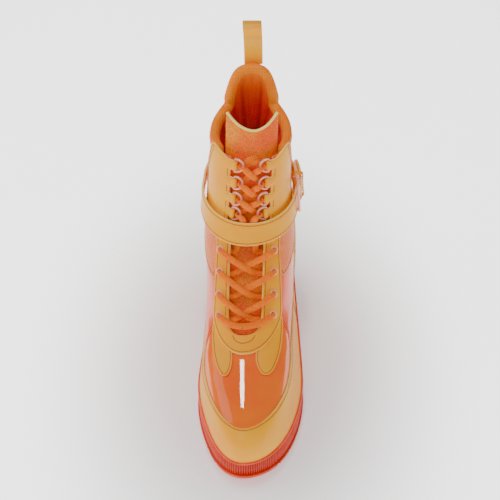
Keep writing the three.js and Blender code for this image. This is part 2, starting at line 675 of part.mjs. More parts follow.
function buildLacing() {
  const bar = [onBoot(EYELET_LEVELS[0] - 0.02, -0.08, 6.3), onBoot(EYELET_LEVELS[0] - 0.03, 0, 6.3),
    onBoot(EYELET_LEVELS[0] - 0.02, 0.08, 6.3)];
  const lateral = laceEnd(1);
  const medial = laceEnd(-1);
  const tail = (end, list) => list.map(([level, around, h]) => onBoot(level, -around * end.out, h));
  const tuck = [[11.72, 0.07, -5], [11.6, 0.12, -4.9], [11.4, 0.18, -4.6], [11.2, 0.23, -4.6]];
  const lateralTail = tail(lateral, tuck);
  const medialTail = tail(medial, tuck);
  const first = [...bar, ...lateral.points.slice(1), ...lateralTail];
  add('lace_lateral_end', 'lace', tube(smooth([bar[1], ...first.slice(2)], 1), LACE_RADIUS, 6));
  const other = [onBoot(EYELET_LEVELS[0] - 0.03, -0.012, 6.3), bar[0], ...medial.points.slice(1), ...medialTail];
  add('lace_medial_end', 'lace', tube(smooth(other, 1), LACE_RADIUS, 6));
  for (const [side, sign] of [['lateral', 1], ['medial', -1]]) {
    EYELET_LEVELS.forEach((level, i) => {
      add(`eyelet_${side}_${i + 1}`, 'painted', eyelet(level, EYELET_AROUND[side]));
    });
    RING_LEVELS.forEach((level, i) => {
      add(`lace_ring_${side}_${i + 1}`, 'painted', laceRing(level, sign * RING_AROUND));
    });
  }
}

// ---- tongue, lining and padded collar
const TONGUE = [-9, -6.4];
const FOAM = [-7.5, BASE[0] - SEAT_GAP];
const COLLAR_LINE = [-9.2, -7.8];
const COLLAR_START = 10.4;
const LINING_EDGE = 0.31;

function buildInside() {
  add('tongue', 'pebbled', panel([[[6.1, -0.2], [6.1, 0.2], [7, 0.27], [11.88, 0.27], [11.88, -0.27],
    [7, -0.27]]], ...TONGUE));
  add('tongue_flap', 'pebbled', panel([[[11.95, -0.25], [11.95, 0.25], [12.7, 0.25], [13.3, 0.235], [13, 0.13],
    [12.8, 0], [13, -0.13], [13.3, -0.235], [12.7, -0.25]]], ...TONGUE));
  const low = COLLAR_START - LEVEL_GAP;
  add('lining', 'lining', panel([[[1, -1], [6, -1], [6, 1], [1, 1]], [[6, LINING_EDGE], [low, LINING_EDGE], [low, 1],
    [6, 1]], [[6, -1], [low, -1], [low, -LINING_EDGE], [6, -LINING_EDGE]]], ...LINE));
  const rim = [...TAB, ...mirror(TAB, 2).reverse().slice(1)];
  const collar = [[COLLAR_START, LINING_EDGE], [COLLAR, LINING_EDGE], ...rim, [COLLAR, 2 - LINING_EDGE],
    [COLLAR_START, 2 - LINING_EDGE]];
  add('collar_foam', 'foam', panel([collar], ...FOAM));
  add('collar_lining', 'lining', panel([collar], ...COLLAR_LINE));
}

// ---- ankle strap and buckle
const STRAP_LEVELS = [9.13, 9.95];
const STRAP_CENTRE = 9.54;
const STRAP_CLEARANCE = 0.9;      // strap above the lace stay
const STRAP_LIFT = OUTER[1] + STRAP_CLEARANCE + STRAP_THICKNESS / 2;
const BACK_LIFT = LEATHER + 0.7 + STRAP_THICKNESS / 2;
const FRONT_BAR = { around: 0.445, lift: 8.2 };
const HEEL_BAR = { around: 0.615, lift: LEATHER + 1 + BUCKLE_WIRE + 0.3 + CHAPE_THICKNESS };
const TAIL_LIFT = HEEL_BAR.lift + BUCKLE_WIRE + 0.3 + CHAPE_THICKNESS + SEAT_GAP + STRAP_THICKNESS / 2;

// A leather band round the boot through [around, lift] stations.
function band(stations, thickness, levels) {
  const points = [];
  for (const [around, lift] of stations) {
    for (const [level, side] of [[0, -1], [1, -1], [1, 1], [0, 1]]) {
      points.push(onBoot(levels[level], around, lift + side * thickness / 2));
    }
  }
  const faces = [];
  for (let i = 0; i + 1 < stations.length; i += 1) {
    for (let k = 0; k < 4; k += 1) {
      const n = (k + 1) % 4;
      faces.push([4 * i + k, 4 * i + n, 4 * i + 4 + n], [4 * i + k, 4 * i + 4 + n, 4 * i + 4 + k]);
    }
  }
  const e = 4 * (stations.length - 1);
  faces.push([0, 2, 1], [0, 3, 2], [e, e + 1, e + 2], [e, e + 2, e + 3]);
  return closedGeometry(points, faces);
}

function buckleFrame() {
  const front = onBoot(STRAP_CENTRE, FRONT_BAR.around, FRONT_BAR.lift);
  const heel = onBoot(STRAP_CENTRE, HEEL_BAR.around, HEEL_BAR.lift);
  const e1 = frameOn(STRAP_CENTRE, HEEL_BAR.around, 0).e1.negate();
  const e2 = heel.clone().sub(front);
  const depth = e2.length();
  e2.normalize();
  e2.addScaledVector(e1, -e2.dot(e1)).normalize();
  const e3 = new THREE.Vector3().crossVectors(e1, e2);
  return { origin: heel, e1, e2, e3, depth };
}

function buildStrap() {
  const wrap = [];
  for (let i = 0; i <= 22; i += 1) {
    const around = -1 + i * (1.39 / 22);
    const share = Math.min(Math.max((Math.abs(around) - 0.5) / 0.4, 0), 1);
    wrap.push([around, STRAP_LIFT + (BACK_LIFT - STRAP_LIFT) * share]);
  }
  add('ankle_strap', 'gold', band(wrap, STRAP_THICKNESS, STRAP_LEVELS));
  const run = [[0.396, STRAP_LIFT], [0.43, STRAP_LIFT], [0.47, STRAP_LIFT + 0.3], [0.52, STRAP_LIFT + 1.6],
    [0.57, TAIL_LIFT - 0.9], [0.6, TAIL_LIFT - 0.05], [0.63, TAIL_LIFT], [0.69, TAIL_LIFT], [0.745, TAIL_LIFT]];
  const frame = buckleFrame();
  const slot = new THREE.BoxGeometry(3.4, 11, 14);
  slot.translate(0, -frame.depth * 0.3, 0);
  add('strap_end', 'gold', cutAway(band(run, STRAP_THICKNESS, STRAP_LEVELS), [placed(slot, frame)]));
  const tip = [[0.75, TAIL_LIFT], [0.77, TAIL_LIFT], [0.79, TAIL_LIFT], [0.81, TAIL_LIFT]];
  add('strap_tip', 'gold', band(tip, STRAP_THICKNESS, [STRAP_LEVELS[0] + 0.02, STRAP_LEVELS[1] - 0.02]));
  const chapeLevels = [STRAP_LEVELS[0] + 0.01, STRAP_LEVELS[1] - 0.01];
  const chape = [[0.65, HEEL_BAR.lift], [0.7, HEEL_BAR.lift], [0.745, HEEL_BAR.lift], [0.8, BACK_LIFT + 0.9],
    [0.86, BACK_LIFT], [0.91, BACK_LIFT], [0.95, BACK_LIFT], [0.994, BACK_LIFT]];
  const thickness = 2 * CHAPE_THICKNESS;
  const loop = pipe(frameOn(STRAP_CENTRE, HEEL_BAR.around, HEEL_BAR.lift), 22.4,
    BUCKLE_WIRE + 0.3 + CHAPE_THICKNESS, BUCKLE_WIRE + 0.3);
  const neck = band([[0.644, HEEL_BAR.lift], [0.66, HEEL_BAR.lift]], thickness, chapeLevels);
  const prongSlot = new THREE.BoxGeometry(4.4, 9, 9);
  add('strap_chape', 'gold', cutAway(joined([loop, neck, band(chape, thickness, chapeLevels)]),
    [placed(prongSlot, frame)]));
  add('strap_patch', 'gold', band([[0.945, 5.7], [0.97, 5.7], [1, 5.7], [1.03, 5.7], [1.055, 5.7]], LEATHER,
    [STRAP_LEVELS[0] - 0.05, STRAP_LEVELS[1] + 0.05]));
  const half = BUCKLE_HEIGHT / 2;
  const at = (u, v, w = 0) => frame.origin.clone().addScaledVector(frame.e1, u)
    .addScaledVector(frame.e2, v).addScaledVector(frame.e3, w);
  const d = -frame.depth;
  const outline = [[-half + 2.5, 0], [half - 2.5, 0], [half - 0.7, -0.7], [half, -2.5],
    [half, d + 2.5], [half - 0.7, d + 0.7], [half - 2.5, d], [-half + 2.5, d], [-half + 0.7, d + 0.7],
    [-half, d + 2.5], [-half, -2.5], [-half + 0.7, -0.7]];
  add('buckle_frame', 'painted', tube(outline.map(([u, v]) => at(u, v)), BUCKLE_WIRE, 8, frame.e3));
  const eye = BUCKLE_WIRE + 0.25 + PRONG_WIRE;
  const rise = eye;
  const prong = [];
  for (let k = 0; k <= 9; k += 1) {
    const angle = (-0.95 + (k / 9) * 1.45) * Math.PI;
    prong.push(at(0, eye * Math.cos(angle), eye * Math.sin(angle)));
  }
  prong.push(at(0, d * 0.3, rise), at(0, d * 0.7, rise), at(0, d - 1.5, rise));
  add('buckle_prong', 'painted', tube(prong, PRONG_WIRE, 6));
  const keeperFrame = frameOn(STRAP_CENTRE, 0.709, 0);
  const low = HEEL_BAR.lift - CHAPE_THICKNESS - 1.2;
  const high = TAIL_LIFT + STRAP_THICKNESS / 2 + 0.5;
  const wide = 12.8;
  const shape = polygonShape([[-wide - 1.2, low - 1.2], [wide + 1.2, low - 1.2], [wide + 1.2, high + 1.2],
    [-wide - 1.2, high + 1.2]]);
  shape.holes.push(polygonShape([[-wide, low], [wide, low], [wide, high], [-wide, high]]));
  const keeper = new THREE.ExtrudeGeometry(shape, { depth: 5.5, bevelEnabled: false, steps: 1 });
  keeper.translate(0, 0, -2.75);
  keeper.rotateX(Math.PI / 2);
  add('strap_keeper', 'gold', placed(keeper, keeperFrame));
}

// ---- pull loop on the heel tab
function buildLoop() {
  add('loop_anchor', 'gold', panel([[[12.58, 0.955], [12.94, 0.957], [12.94, 1.043], [12.58, 1.045]]], ...OVER));
  const foot = onBoot(12.94, 1, LEATHER / 2);
  const t = 1.6;
  const g = LOOP_GAP / 2;
  const h = LOOP_HEIGHT;
  const outer = [[-t, 0], [t, 0], [t + 0.6, 8], [g + t - 1, 20], [g + t, 32], [g + t - 0.6, h - 5], [g + t - 3, h - 1.2],
    [0.4, h], [-g - t + 2.4, h - 1.6], [-g - t + 0.2, h - 6], [-g - t, 32], [-g - t + 1, 20], [-t - 0.6, 8]];
  const inner = [[0, 9], [g - 1, 20], [g, 32], [g - 0.6, h - 6], [g - 2.4, h - 2.8], [0.2, h - t], [-g + 2, h - 3],
    [-g + 0.2, h - 7], [-g, 32], [-g + 1, 20]];
  const shape = polygonShape(outer);
  shape.holes.push(polygonShape(inner));
  const loop = new THREE.ExtrudeGeometry(shape, { depth: LOOP_WIDTH, bevelEnabled: false, steps: 1 });
  loop.translate(0, 0, -LOOP_WIDTH / 2);
  loop.rotateY(Math.PI / 2);
  loop.rotateX(Math.PI / 2);
  loop.rotateX(-0.08);
  loop.translate(foot.x + 1, foot.y, foot.z + 2.2);
  add('pull_loop', 'gold', loop);
}

buildSole();
buildUpper();
buildInside();
buildLacing();
buildStrap();
buildLoop();

export default boot;
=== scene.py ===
"""Looks of a laced, buckled high-top boot on a ribbed platform sole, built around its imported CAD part."""
import math

import bpy
import numpy as np
from mathutils import Matrix, Vector
from mathutils.geometry import delaunay_2d_cdt


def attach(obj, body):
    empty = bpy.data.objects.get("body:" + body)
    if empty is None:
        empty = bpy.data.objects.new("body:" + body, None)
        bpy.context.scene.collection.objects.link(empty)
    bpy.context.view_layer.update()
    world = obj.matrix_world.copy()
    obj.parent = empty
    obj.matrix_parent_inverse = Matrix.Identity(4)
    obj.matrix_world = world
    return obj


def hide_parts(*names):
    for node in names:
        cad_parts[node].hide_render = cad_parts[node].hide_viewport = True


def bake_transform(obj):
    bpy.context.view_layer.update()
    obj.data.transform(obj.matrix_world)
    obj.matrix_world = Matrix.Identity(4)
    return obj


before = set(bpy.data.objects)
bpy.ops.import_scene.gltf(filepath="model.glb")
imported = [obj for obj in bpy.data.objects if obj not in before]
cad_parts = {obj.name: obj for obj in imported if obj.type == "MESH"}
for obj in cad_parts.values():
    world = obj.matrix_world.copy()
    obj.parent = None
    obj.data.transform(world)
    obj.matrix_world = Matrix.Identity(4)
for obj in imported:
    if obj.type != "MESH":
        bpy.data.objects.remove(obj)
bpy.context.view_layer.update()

bl_info = {
    "name": "High-Top Boot",
    "version": (1, 0, 0),
    "blender": (4, 5, 0),
    "location": "3D View > Sidebar > Boot",
    "description": "Builds the leather, lacing, strap and sole of a high-top boot on its CAD frame",
    "category": "Object",
}

MM = 0.001
SIDES = {"lateral": 1, "medial": -1}

# ---------------------------------------------------------------- shape of the last, in millimetres
SOLE_LENGTH = 284
UPPER_HEIGHT = 243
PLATFORM = 30
HEEL_RISE = 4
TOE_SPRING = 8
TOE_SPRING_LENGTH = 75
TREAD_HEIGHT = 6
WELT_HEIGHT = 3
LIP_HEIGHT = TREAD_HEIGHT - 1
WELT_RISE = 2.6
LAST_HEIGHT = 243
SECTIONS = np.array([
    [4, 30, 286, 34, 104, 98, -8.0, 40],
    [2, 43, 288, 50, 104, 98, -8.0, 40],
    [6, 54, 288, 66, 102, 96, -8.0, 40],
    [16, 63, 287, 82, 100, 92, -8.0, 40],
    [37, 72, 284, 98, 96, 86, -8.2, 40],
    [64, 80, 281, 113, 90, 78, -8.4, 42],
    [92, 91, 279, 128, 82, 70, -8.6, 44],
    [115, 109, 278, 142, 70, 60, -8.5, 46],
    [138, 132, 278, 156, 58, 52, -7.5, 48],
    [160, 155, 278, 171, 50, 48, -5.8, 50],
    [173, 180, 280, 191, 46, 46, -3.0, 51],
    [184, 206, 282, 213, 42, 42, -0.5, 52],
    [196, 236, 285, 240, 36, 36, 1.5, 52],
    [208, 263, 288, 275, 28, 28, 2.5, 52],
    [216, 284, 291, 300, 22, 22, 3.0, 52],
])
TOP = len(SECTIONS) - 1
WIDTH_HEIGHTS = np.array([30, 60, 100, 150, 200, 260])
WIDTH_STATIONS = np.array([40, 100, 160, 220, 280])
LATERAL_WIDTHS = np.array([
    [46, 47.5, 45.5, 42.5, 40.5],
    [39, 38.5, 39.5, 41, 40.5],
    [38, 38, 40.5, 42.5, 41],
    [40, 40, 39.5, 39.5, 40],
    [36.5, 36.5, 36.5, 37, 37.5],
    [39, 39, 39.5, 39.5, 39],
])
MEDIAL_WIDTHS = np.array([
    [47, 49, 43.5, 40, 39.5],
    [45, 46, 43, 41, 40],
    [43, 44, 43.5, 43.5, 41],
    [42, 43, 43.5, 43, 41],
    [40, 40, 40.5, 40.5, 39.5],
    [39.5, 39.5, 39.5, 39.5, 39],
])
NOSE_POWER = 2.05
NOSE_END = 0.5
BACK_START = 0.72
HALF_LENGTH = SOLE_LENGTH / 2


def spline(p0, p1, p2, p3, u):
    """Catmull-Rom curve from p1 to p2."""
    return 0.5 * (2 * p1 + (p2 - p0) * u + (2 * p0 - 5 * p1 + 4 * p2 - p3) * u * u
                  + (3 * p1 - 3 * p2 + p3 - p0) * u * u * u)


def row_at(rows, t):
    """Smoothly interpolated rows of a table at the places t."""
    last = len(rows) - 1
    s = np.clip(t, 0, last)
    i = np.minimum(np.floor(s), last - 1).astype(int)
    pick = [rows[np.clip(i + k, 0, last)] for k in (-1, 0, 1, 2)]
    return spline(*pick, (s - i)[:, None])


def half_width(depth, height, side):
    """Half the width of the last, on the side given by the sign of side."""
    rows = np.interp(height, WIDTH_HEIGHTS, np.arange(len(WIDTH_HEIGHTS)))
    lateral = row_at(LATERAL_WIDTHS, rows)
    medial = row_at(MEDIAL_WIDTHS, rows)
    table = np.where((side >= 0)[:, None], lateral, medial)
    last = table.shape[1] - 1
    s = np.clip(np.interp(depth, WIDTH_STATIONS, np.arange(last + 1)), 0, last)
    i = np.minimum(np.floor(s), last - 1).astype(int)
    pick = [np.take_along_axis(table, np.clip(i + k, 0, last)[:, None], 1)[:, 0] for k in (-1, 0, 1, 2)]
    return spline(*pick, s - i)


def on_last(chart):
    """Points of the last. A chart point is (level, around): level 0 at the sole to TOP at the heel
    tab, around 0 on the instep line to 1 at the heel on the lateral side and -1 on the medial side."""
    chart = np.atleast_2d(np.asarray(chart, float))
    level, a = chart[:, 0], chart[:, 1].copy()
    a = np.where(a > 1, a - 2, a)
    a = np.where(a < -1, a + 2, a)
    fy, fz, by, bz, nose_l, nose_m, ridge, back = row_at(SECTIONS, level).T
    length = np.hypot(by - fy, bz - fz)
    t = np.abs(a)
    side = np.where(a >= 0, 1, -1)
    nose = np.where(a >= 0, nose_l, nose_m)
    turn = np.clip(t / NOSE_END, 0, 1) * math.pi / 2
    back_turn = np.clip((t - BACK_START) / (1 - BACK_START), 0, 1) * math.pi / 2
    out_nose = np.maximum(np.sin(turn), 0) ** (2 / NOSE_POWER)
    along_nose = nose * (1 - np.maximum(np.cos(turn), 0) ** (2 / NOSE_POWER))
    along_side = nose + (t - NOSE_END) / (BACK_START - NOSE_END) * (length - nose - back)
    along_back = length - back + back * np.sin(back_turn)
    along = np.where(t <= NOSE_END, along_nose, np.where(t <= BACK_START, along_side, along_back))
    out = np.where(t <= NOSE_END, out_nose, np.where(t <= BACK_START, 1, np.cos(back_turn)))
    share = along / length
    depth = fy + (by - fy) * share
    height = fz + (bz - fz) * share
    centre = ridge * np.maximum(1 - 1.6 * share, 0) + 0.5 * share
    x = centre + (side * half_width(depth, height, side) - centre) * out
    y = depth - HALF_LENGTH
    z = PLATFORM + (height - SECTIONS[0][1]) * UPPER_HEIGHT / LAST_HEIGHT
    return np.stack([x, y, z], 1)


def unit(v):
    return v / np.maximum(np.linalg.norm(v, axis=-1, keepdims=True), 1e-9)


def distance_along(points):
    """Distance from the first point to each point of a line, measured along it."""
    return np.concatenate([[0], np.cumsum(np.linalg.norm(np.diff(points, axis=0), axis=1))])


def at_distances(wanted, run, rows):
    """Rows that belong to the wanted distances, where run holds each row's own distance."""
    return np.stack([np.interp(wanted, run, column) for column in rows.T], 1)


def circle(count):
    """Angles that share a full turn out evenly."""
    return np.arange(count) / count * 2 * math.pi


def ease(t):
    """Smooth step from 0 to 1."""
    t = np.clip(t, 0, 1)
    return t * t * (3 - 2 * t)


def relaxed(loop):
    """Each point of a closed loop, moved a little towards its neighbours."""
    return 0.25 * np.roll(loop, 1, 0) + 0.5 * loop + 0.25 * np.roll(loop, -1, 0)


def last_normal(chart):
    """Outward normals of the last at chart points."""
    chart = np.atleast_2d(np.asarray(chart, float))
    e = 0.02
    up, low = chart.copy(), chart.copy()
    up[:, 0] = np.minimum(up[:, 0] + e, TOP)
    low[:, 0] = np.maximum(low[:, 0] - e, 0)
    step = np.array([0, e])
    turn = on_last(chart + step) - on_last(chart - step)
    return unit(np.cross(turn, on_last(up) - on_last(low)))


def on_boot(chart, h):
    """Points h millimetres outside the last."""
    return on_last(chart) + last_normal(chart) * np.reshape(h, (-1, 1))


def frame_on(level, around, h):
    """Origin, up, round-to-medial and outward directions on the boot."""
    here = np.array([[level, around]])
    e3 = last_normal(here)[0]
    step = np.array([[0.1, 0]])
    e1 = unit(on_boot(here + step, h) - on_boot(here - step, h))[0]
    e2 = unit(np.cross(e3, e1))
    return on_boot(here, h)[0], e1, e2, np.cross(e1, e2)


# ---------------------------------------------------------------- outlines on the last
def curve_through(points, step=1.5):
    """Chart points every step millimetres along a smooth line through the given chart points."""
    points = np.asarray(points, float)
    last = len(points) - 1
    if last == 1:
        fine = points[0] + (points[1] - points[0]) * np.linspace(0, 1, 33)[:, None]
    else:
        u = np.linspace(0, 1, 24, endpoint=False)[:, None]
        near = np.concatenate([points[:1], points, points[-1:]])
        fine = [spline(*near[i:i + 4], u) for i in range(last)]
        fine = np.concatenate(fine + [points[-1:]])
    run = distance_along(on_last(fine))
    count = max(int(round(run[-1] / step)), 2)
    return at_distances(np.linspace(0, run[-1], count + 1), run, fine)


def loop_of(runs, step=1.5):
    """One closed outline from runs of chart points, sharp only where two runs meet."""
    parts = [curve_through(run, step)[:-1] for run in runs]
    starts = np.cumsum([0] + [len(part) for part in parts])
    return np.concatenate(parts), starts


def signed_area(loop):
    """Area inside a chart loop, negative when it runs the other way round."""
    x, y = loop[:, 1], loop[:, 0]
    return 0.5 * np.sum(x * np.roll(y, -1) - y * np.roll(x, -1))


def inward_steps(loop):
    """Chart step that goes one millimetre into the panel from each point of its outline."""
    place = on_last(loop)
    normal = last_normal(loop)
    before, after = np.roll(place, 1, 0), np.roll(place, -1, 0)
    t1, t2 = unit(place - before), unit(after - place)
    m1, m2 = np.cross(normal, t1), np.cross(normal, t2)
    inward = (m1 + m2) / np.maximum(1 + np.sum(m1 * m2, 1), 0.45)[:, None]
    e = 0.004
    rise = (on_last(loop + [e, 0]) - on_last(loop - [e, 0])) / (2 * e)
    turn = (on_last(loop + [0, e]) - on_last(loop - [0, e])) / (2 * e)
    a, b, d = np.sum(rise * rise, 1), np.sum(rise * turn, 1), np.sum(turn * turn, 1)
    p, q = np.sum(inward * rise, 1), np.sum(inward * turn, 1)
    det = a * d - b * b
    return np.stack([(p * d - q * b) / det, (q * a - p * b) / det], 1)


def inset(loop, steps, distance):
    """The outline moved inwards, without folding over itself in a tight corner."""
    moved = loop + steps * distance
    if abs(distance) > 1.2:
        for _ in range(3):
            moved = relaxed(moved)
    return moved


def inside(points, loops):
    """Even-odd test of flat points against closed loops."""
    hit = np.zeros(len(points), bool)
    for loop in loops:
        a, b = loop, np.roll(loop, -1, 0)
        for (ay, ax), (by, bx) in zip(a, b):
            if ay == by:
                continue
            crosses = (points[:, 0] >= min(ay, by)) & (points[:, 0] < max(ay, by))
            where = ax + (points[:, 0] - ay) / (by - ay) * (bx - ax)
            hit ^= crosses & (points[:, 1] < where)
    return hit


FLAT = np.array([19.0, 118.0])  # millimetres per unit of level and of around, on average


def fill(loops, spacing):
    """Triangles over the area that closed chart loops bound: extra points and faces."""
    flat = [loop * FLAT for loop in loops]
    border = np.concatenate(flat)
    low, high = border.min(0), border.max(0)
    rows = np.arange(low[0] + spacing / 2, high[0], spacing * 0.87)
    columns = np.arange(low[1] + spacing / 2, high[1], spacing)
    grid = np.array([[r, c + (k % 2) * spacing / 2] for k, r in enumerate(rows) for c in columns])
    if len(grid):
        grid = grid[inside(grid, flat)]
        near = np.full(len(grid), 1e9)
        for start in range(0, len(border), 200):
            gap = grid[:, None, :] - border[None, start:start + 200, :]
            near = np.minimum(near, np.sqrt((gap ** 2).sum(2)).min(1))
        grid = grid[near > spacing * 0.6]
    points = np.concatenate([border, grid]) if len(grid) else border
    edges, start = [], 0
    for loop in flat:
        n = len(loop)
        edges += [(start + i, start + (i + 1) % n) for i in range(n)]
        start += n
    verts, _, faces, origin, _, _ = delaunay_2d_cdt([Vector(p) for p in points], edges, [], 0, 1e-6)
    out = np.array([list(v) for v in verts])
    centres = np.array([out[list(f)].mean(0) for f in faces])
    keep = inside(centres, flat)
    source = [o[0] if o else None for o in origin]
    extra, index = [], {}
    for i, o in enumerate(source):
        if o is None:
            index[i] = len(points) + len(extra)
            extra.append(out[i])
        else:
            index[i] = o
    if extra:
        points = np.concatenate([points, extra])
    tris = [tuple(index[v] for v in f) for f, k in zip(faces, keep) if k]
    fixed = []
    for t in tris:
        (ay, ax), (by, bx), (cy, cx) = points[t[0]], points[t[1]], points[t[2]]
        area = (bx - ax) * (cy - ay) - (by - ay) * (cx - ax)
        fixed.append(t if area > 0 else (t[0], t[2], t[1]))
    return points[len(border):] / FLAT, fixed


# ---------------------------------------------------------------- meshes
class Solid:
    """Vertices, faces and their material numbers, gathered before a mesh is made."""

    def __init__(self):
        self.points = []
        self.faces = []
        self.slots = []
        self.count = 0
        self.marks = []

    def add(self, points, faces, slot=0, marks=None):
        """Adds points, and faces that count from the first of them. Returns that point's number."""
        start = self.count
        points = np.asarray(points, float)
        self.points.append(points)
        self.marks.append(np.zeros((len(points), 2)) if marks is None else np.asarray(marks, float))
        self.count += len(points)
        self.faces += [tuple(start + v for v in face) for face in faces]
        self.slots += [slot] * len(faces)
        return start

    def make(self, name, *finishes, uv=False):
        """The gathered mesh as an object, with a finish for each material number."""
        mesh = bpy.data.meshes.new(name)
        mesh.from_pydata((np.concatenate(self.points) * MM).tolist(), [], self.faces)
        for key in finishes:
            mesh.materials.append(finish_of(key))
        mesh.polygons.foreach_set("material_index", self.slots)
        mesh.polygons.foreach_set("use_smooth", [True] * len(self.faces))
        if uv:
            marks = np.concatenate(self.marks)
            layer = mesh.uv_layers.new(name="UVMap")
            corner = np.zeros(len(mesh.loops), int)
            mesh.loops.foreach_get("vertex_index", corner)
            layer.data.foreach_set("uv", marks[corner].ravel())
        mesh.validate()
        mesh.update()
        piece = bpy.data.objects.new(name, mesh)
        bpy.context.scene.collection.objects.link(piece)
        return piece


def ring_faces(first, second, n):
    """Faces between two closed rings of n points, each ring given by its first point's number."""
    return [(first + i, first + (i + 1) % n, second + (i + 1) % n, second + i) for i in range(n)]


def turned(solid, origin, axis, across, up, profile, sides=20):
    """An open surface of revolution, from its profile of (distance along the axis, radius)."""
    angle = circle(sides)[:, None]
    spokes = across * np.cos(angle) + up * np.sin(angle)
    points = [origin + axis * along + spokes * radius for along, radius in profile]
    faces = []
    for k in range(len(profile) - 1):
        faces += [face[::-1] for face in ring_faces(sides * k, sides * (k + 1), sides)]
    solid.add(np.concatenate(points), faces)


def sweep(path, section, solid, up=None, closed=False, scales=None):
    """Sweeps closed sections (n, 2) along a path. up gives the direction of each section's second axis."""
    path = np.asarray(path, float)
    count, sides = len(path), len(section)
    if closed:
        tangent = unit(np.roll(path, -1, 0) - np.roll(path, 1, 0))
    else:
        tangent = unit(np.gradient(path, axis=0))
    if up is None:
        up = np.zeros((count, 3))
        v = np.array([0.31, 0.17, 0.93])
        for i in range(count):
            v = unit(v - tangent[i] * (v @ tangent[i]))
            up[i] = v
    up = np.broadcast_to(up, (count, 3))
    up = unit(up - tangent * np.sum(up * tangent, 1)[:, None])
    across = np.cross(tangent, up)
    scales = np.ones((count, 2)) if scales is None else np.asarray(scales, float)
    run = distance_along(path)
    points, marks = [], []
    for i in range(count):
        s = np.asarray(section) * scales[i]
        points.append(path[i] + across[i] * s[:, :1] + up[i] * s[:, 1:])
        marks.append(np.stack([np.full(sides, run[i]), np.arange(sides) / sides], 1))
    faces = []
    for i in range(count if closed else count - 1):
        faces += ring_faces(i * sides, ((i + 1) % count) * sides, sides)
    if not closed:
        faces += [tuple(range(sides - 1, -1, -1)), tuple((count - 1) * sides + k for k in range(sides))]
    faces = [face[::-1] for face in faces]
    solid.add(np.concatenate(points), faces, 0, np.concatenate(marks))


def oval(width, height, sides=16, power=2.0):
    """A closed section: an ellipse at power 2, and squarer above it."""
    angle = circle(sides)
    c, s = np.cos(angle), np.sin(angle)
    x = np.sign(c) * np.abs(c) ** (2 / power) * width / 2
    y = np.sign(s) * np.abs(s) ** (2 / power) * height / 2
    return np.stack([x, y], 1)


def smooth_path(points, step, closed=False):
    """Points every step millimetres along a smooth line through points in space."""
    points = np.asarray(points, float)
    n = len(points)
    fine = []
    for i in range(n if closed else n - 1):
        at = (lambda k: points[k % n]) if closed else (lambda k: points[min(max(k, 0), n - 1)])
        p = [at(i - 1), at(i), at(i + 1), at(i + 2)]
        knots = [0.0]
        for here, there in zip(p, p[1:]):
            knots.append(knots[-1] + max(np.linalg.norm(there - here), 1e-3) ** 0.5)
        t = np.linspace(knots[1], knots[2], 16, endpoint=False)[:, None]
        mix = lambda before, after, j, k: (
            ((knots[k] - t) * before + (t - knots[j]) * after) / (knots[k] - knots[j]))
        lines = [mix(p[k], p[k + 1], k, k + 1) for k in range(3)]
        bends = [mix(lines[k], lines[k + 1], k, k + 2) for k in range(2)]
        fine.append(mix(bends[0], bends[1], 1, 2))
    fine = np.concatenate(fine + [points[:1] if closed else points[-1:]])
    run = distance_along(fine)
    count = max(int(round(run[-1] / step)), 4)
    path = at_distances(np.linspace(0, run[-1], count + 1), run, fine)
    return path[:-1] if closed else path


def panel(solid, loops, rings, back=None, spacing=3.0, relief=None, inner_face=False, shade_of=None):
    """A leather panel: rings (inset, height) round its edge, from its underside to its face, then the
    face itself. The face has the first finish and the edge has the second. relief(level, around) adds
    to the face's height, back is the underside's height, and shade_of marks the face."""
    raised = lambda spots: relief(spots[:, 0], spots[:, 1]) if relief is not None else 0
    turned_over = lambda faces: [face[::-1] for face in faces] if inner_face else faces
    offsets, final = [], []
    for k, loop in enumerate(loops):
        want = 1 if k == 0 else -1
        if signed_area(loop) * want < 0:
            loop = loop[::-1]
        steps = inward_steps(loop)
        starts = []
        for distance, h in rings:
            place = inset(loop, steps, distance)
            lift = raised(place) if (distance, h) == rings[-1] else 0
            starts.append(solid.add(on_boot(place, h + lift * np.ones(len(place))), []))
        for r, (low, high) in enumerate(zip(starts, starts[1:])):
            faces = turned_over(ring_faces(low, high, len(loop)))
            solid.faces += faces
            solid.slots += [1 if r < len(starts) - 2 else 0] * len(faces)
        offsets.append(starts[-1])
        final.append(inset(loop, steps, rings[-1][0]))
    extra, tris = fill(final, spacing)
    border = np.concatenate([np.arange(len(f)) + o for f, o in zip(final, offsets)])
    start = solid.count
    if len(extra):
        marks = None
        if shade_of is not None:
            marks = np.stack([shade_of(extra[:, 0], extra[:, 1]), np.zeros(len(extra))], 1)
        height = rings[-1][1] + raised(extra) * np.ones(len(extra))
        start = solid.add(on_boot(extra, height), [], 0, marks)
    number = lambda v: int(border[v]) if v < len(border) else start + v - len(border)
    solid.faces += turned_over([tuple(number(v) for v in t) for t in tris])
    solid.slots += [0] * len(tris)
    if back is not None:
        whole = np.concatenate(final + [extra])
        under = [t if inner_face else t[::-1] for t in tris]
        solid.add(on_boot(whole, back + raised(whole) * np.ones(len(whole))), under)


def edge_rings(low, high, soft=0.45):
    """Rings of a cut leather edge, a little rounded at the face."""
    return [(0.0, low), (0.0, high - soft), (soft * 0.3, high - soft * 0.28), (soft, high)]


# ---------------------------------------------------------------- stitching
THREAD_RINGS = [(-0.5, 0.25, -0.35), (-0.36, 0.8, 0.2), (0, 1, 0.42), (0.36, 0.8, 0.2), (0.5, 0.25, -0.35)]
THREAD_SIDES = 6
STITCH_SHARE = 0.66  # of the pitch that shows as thread


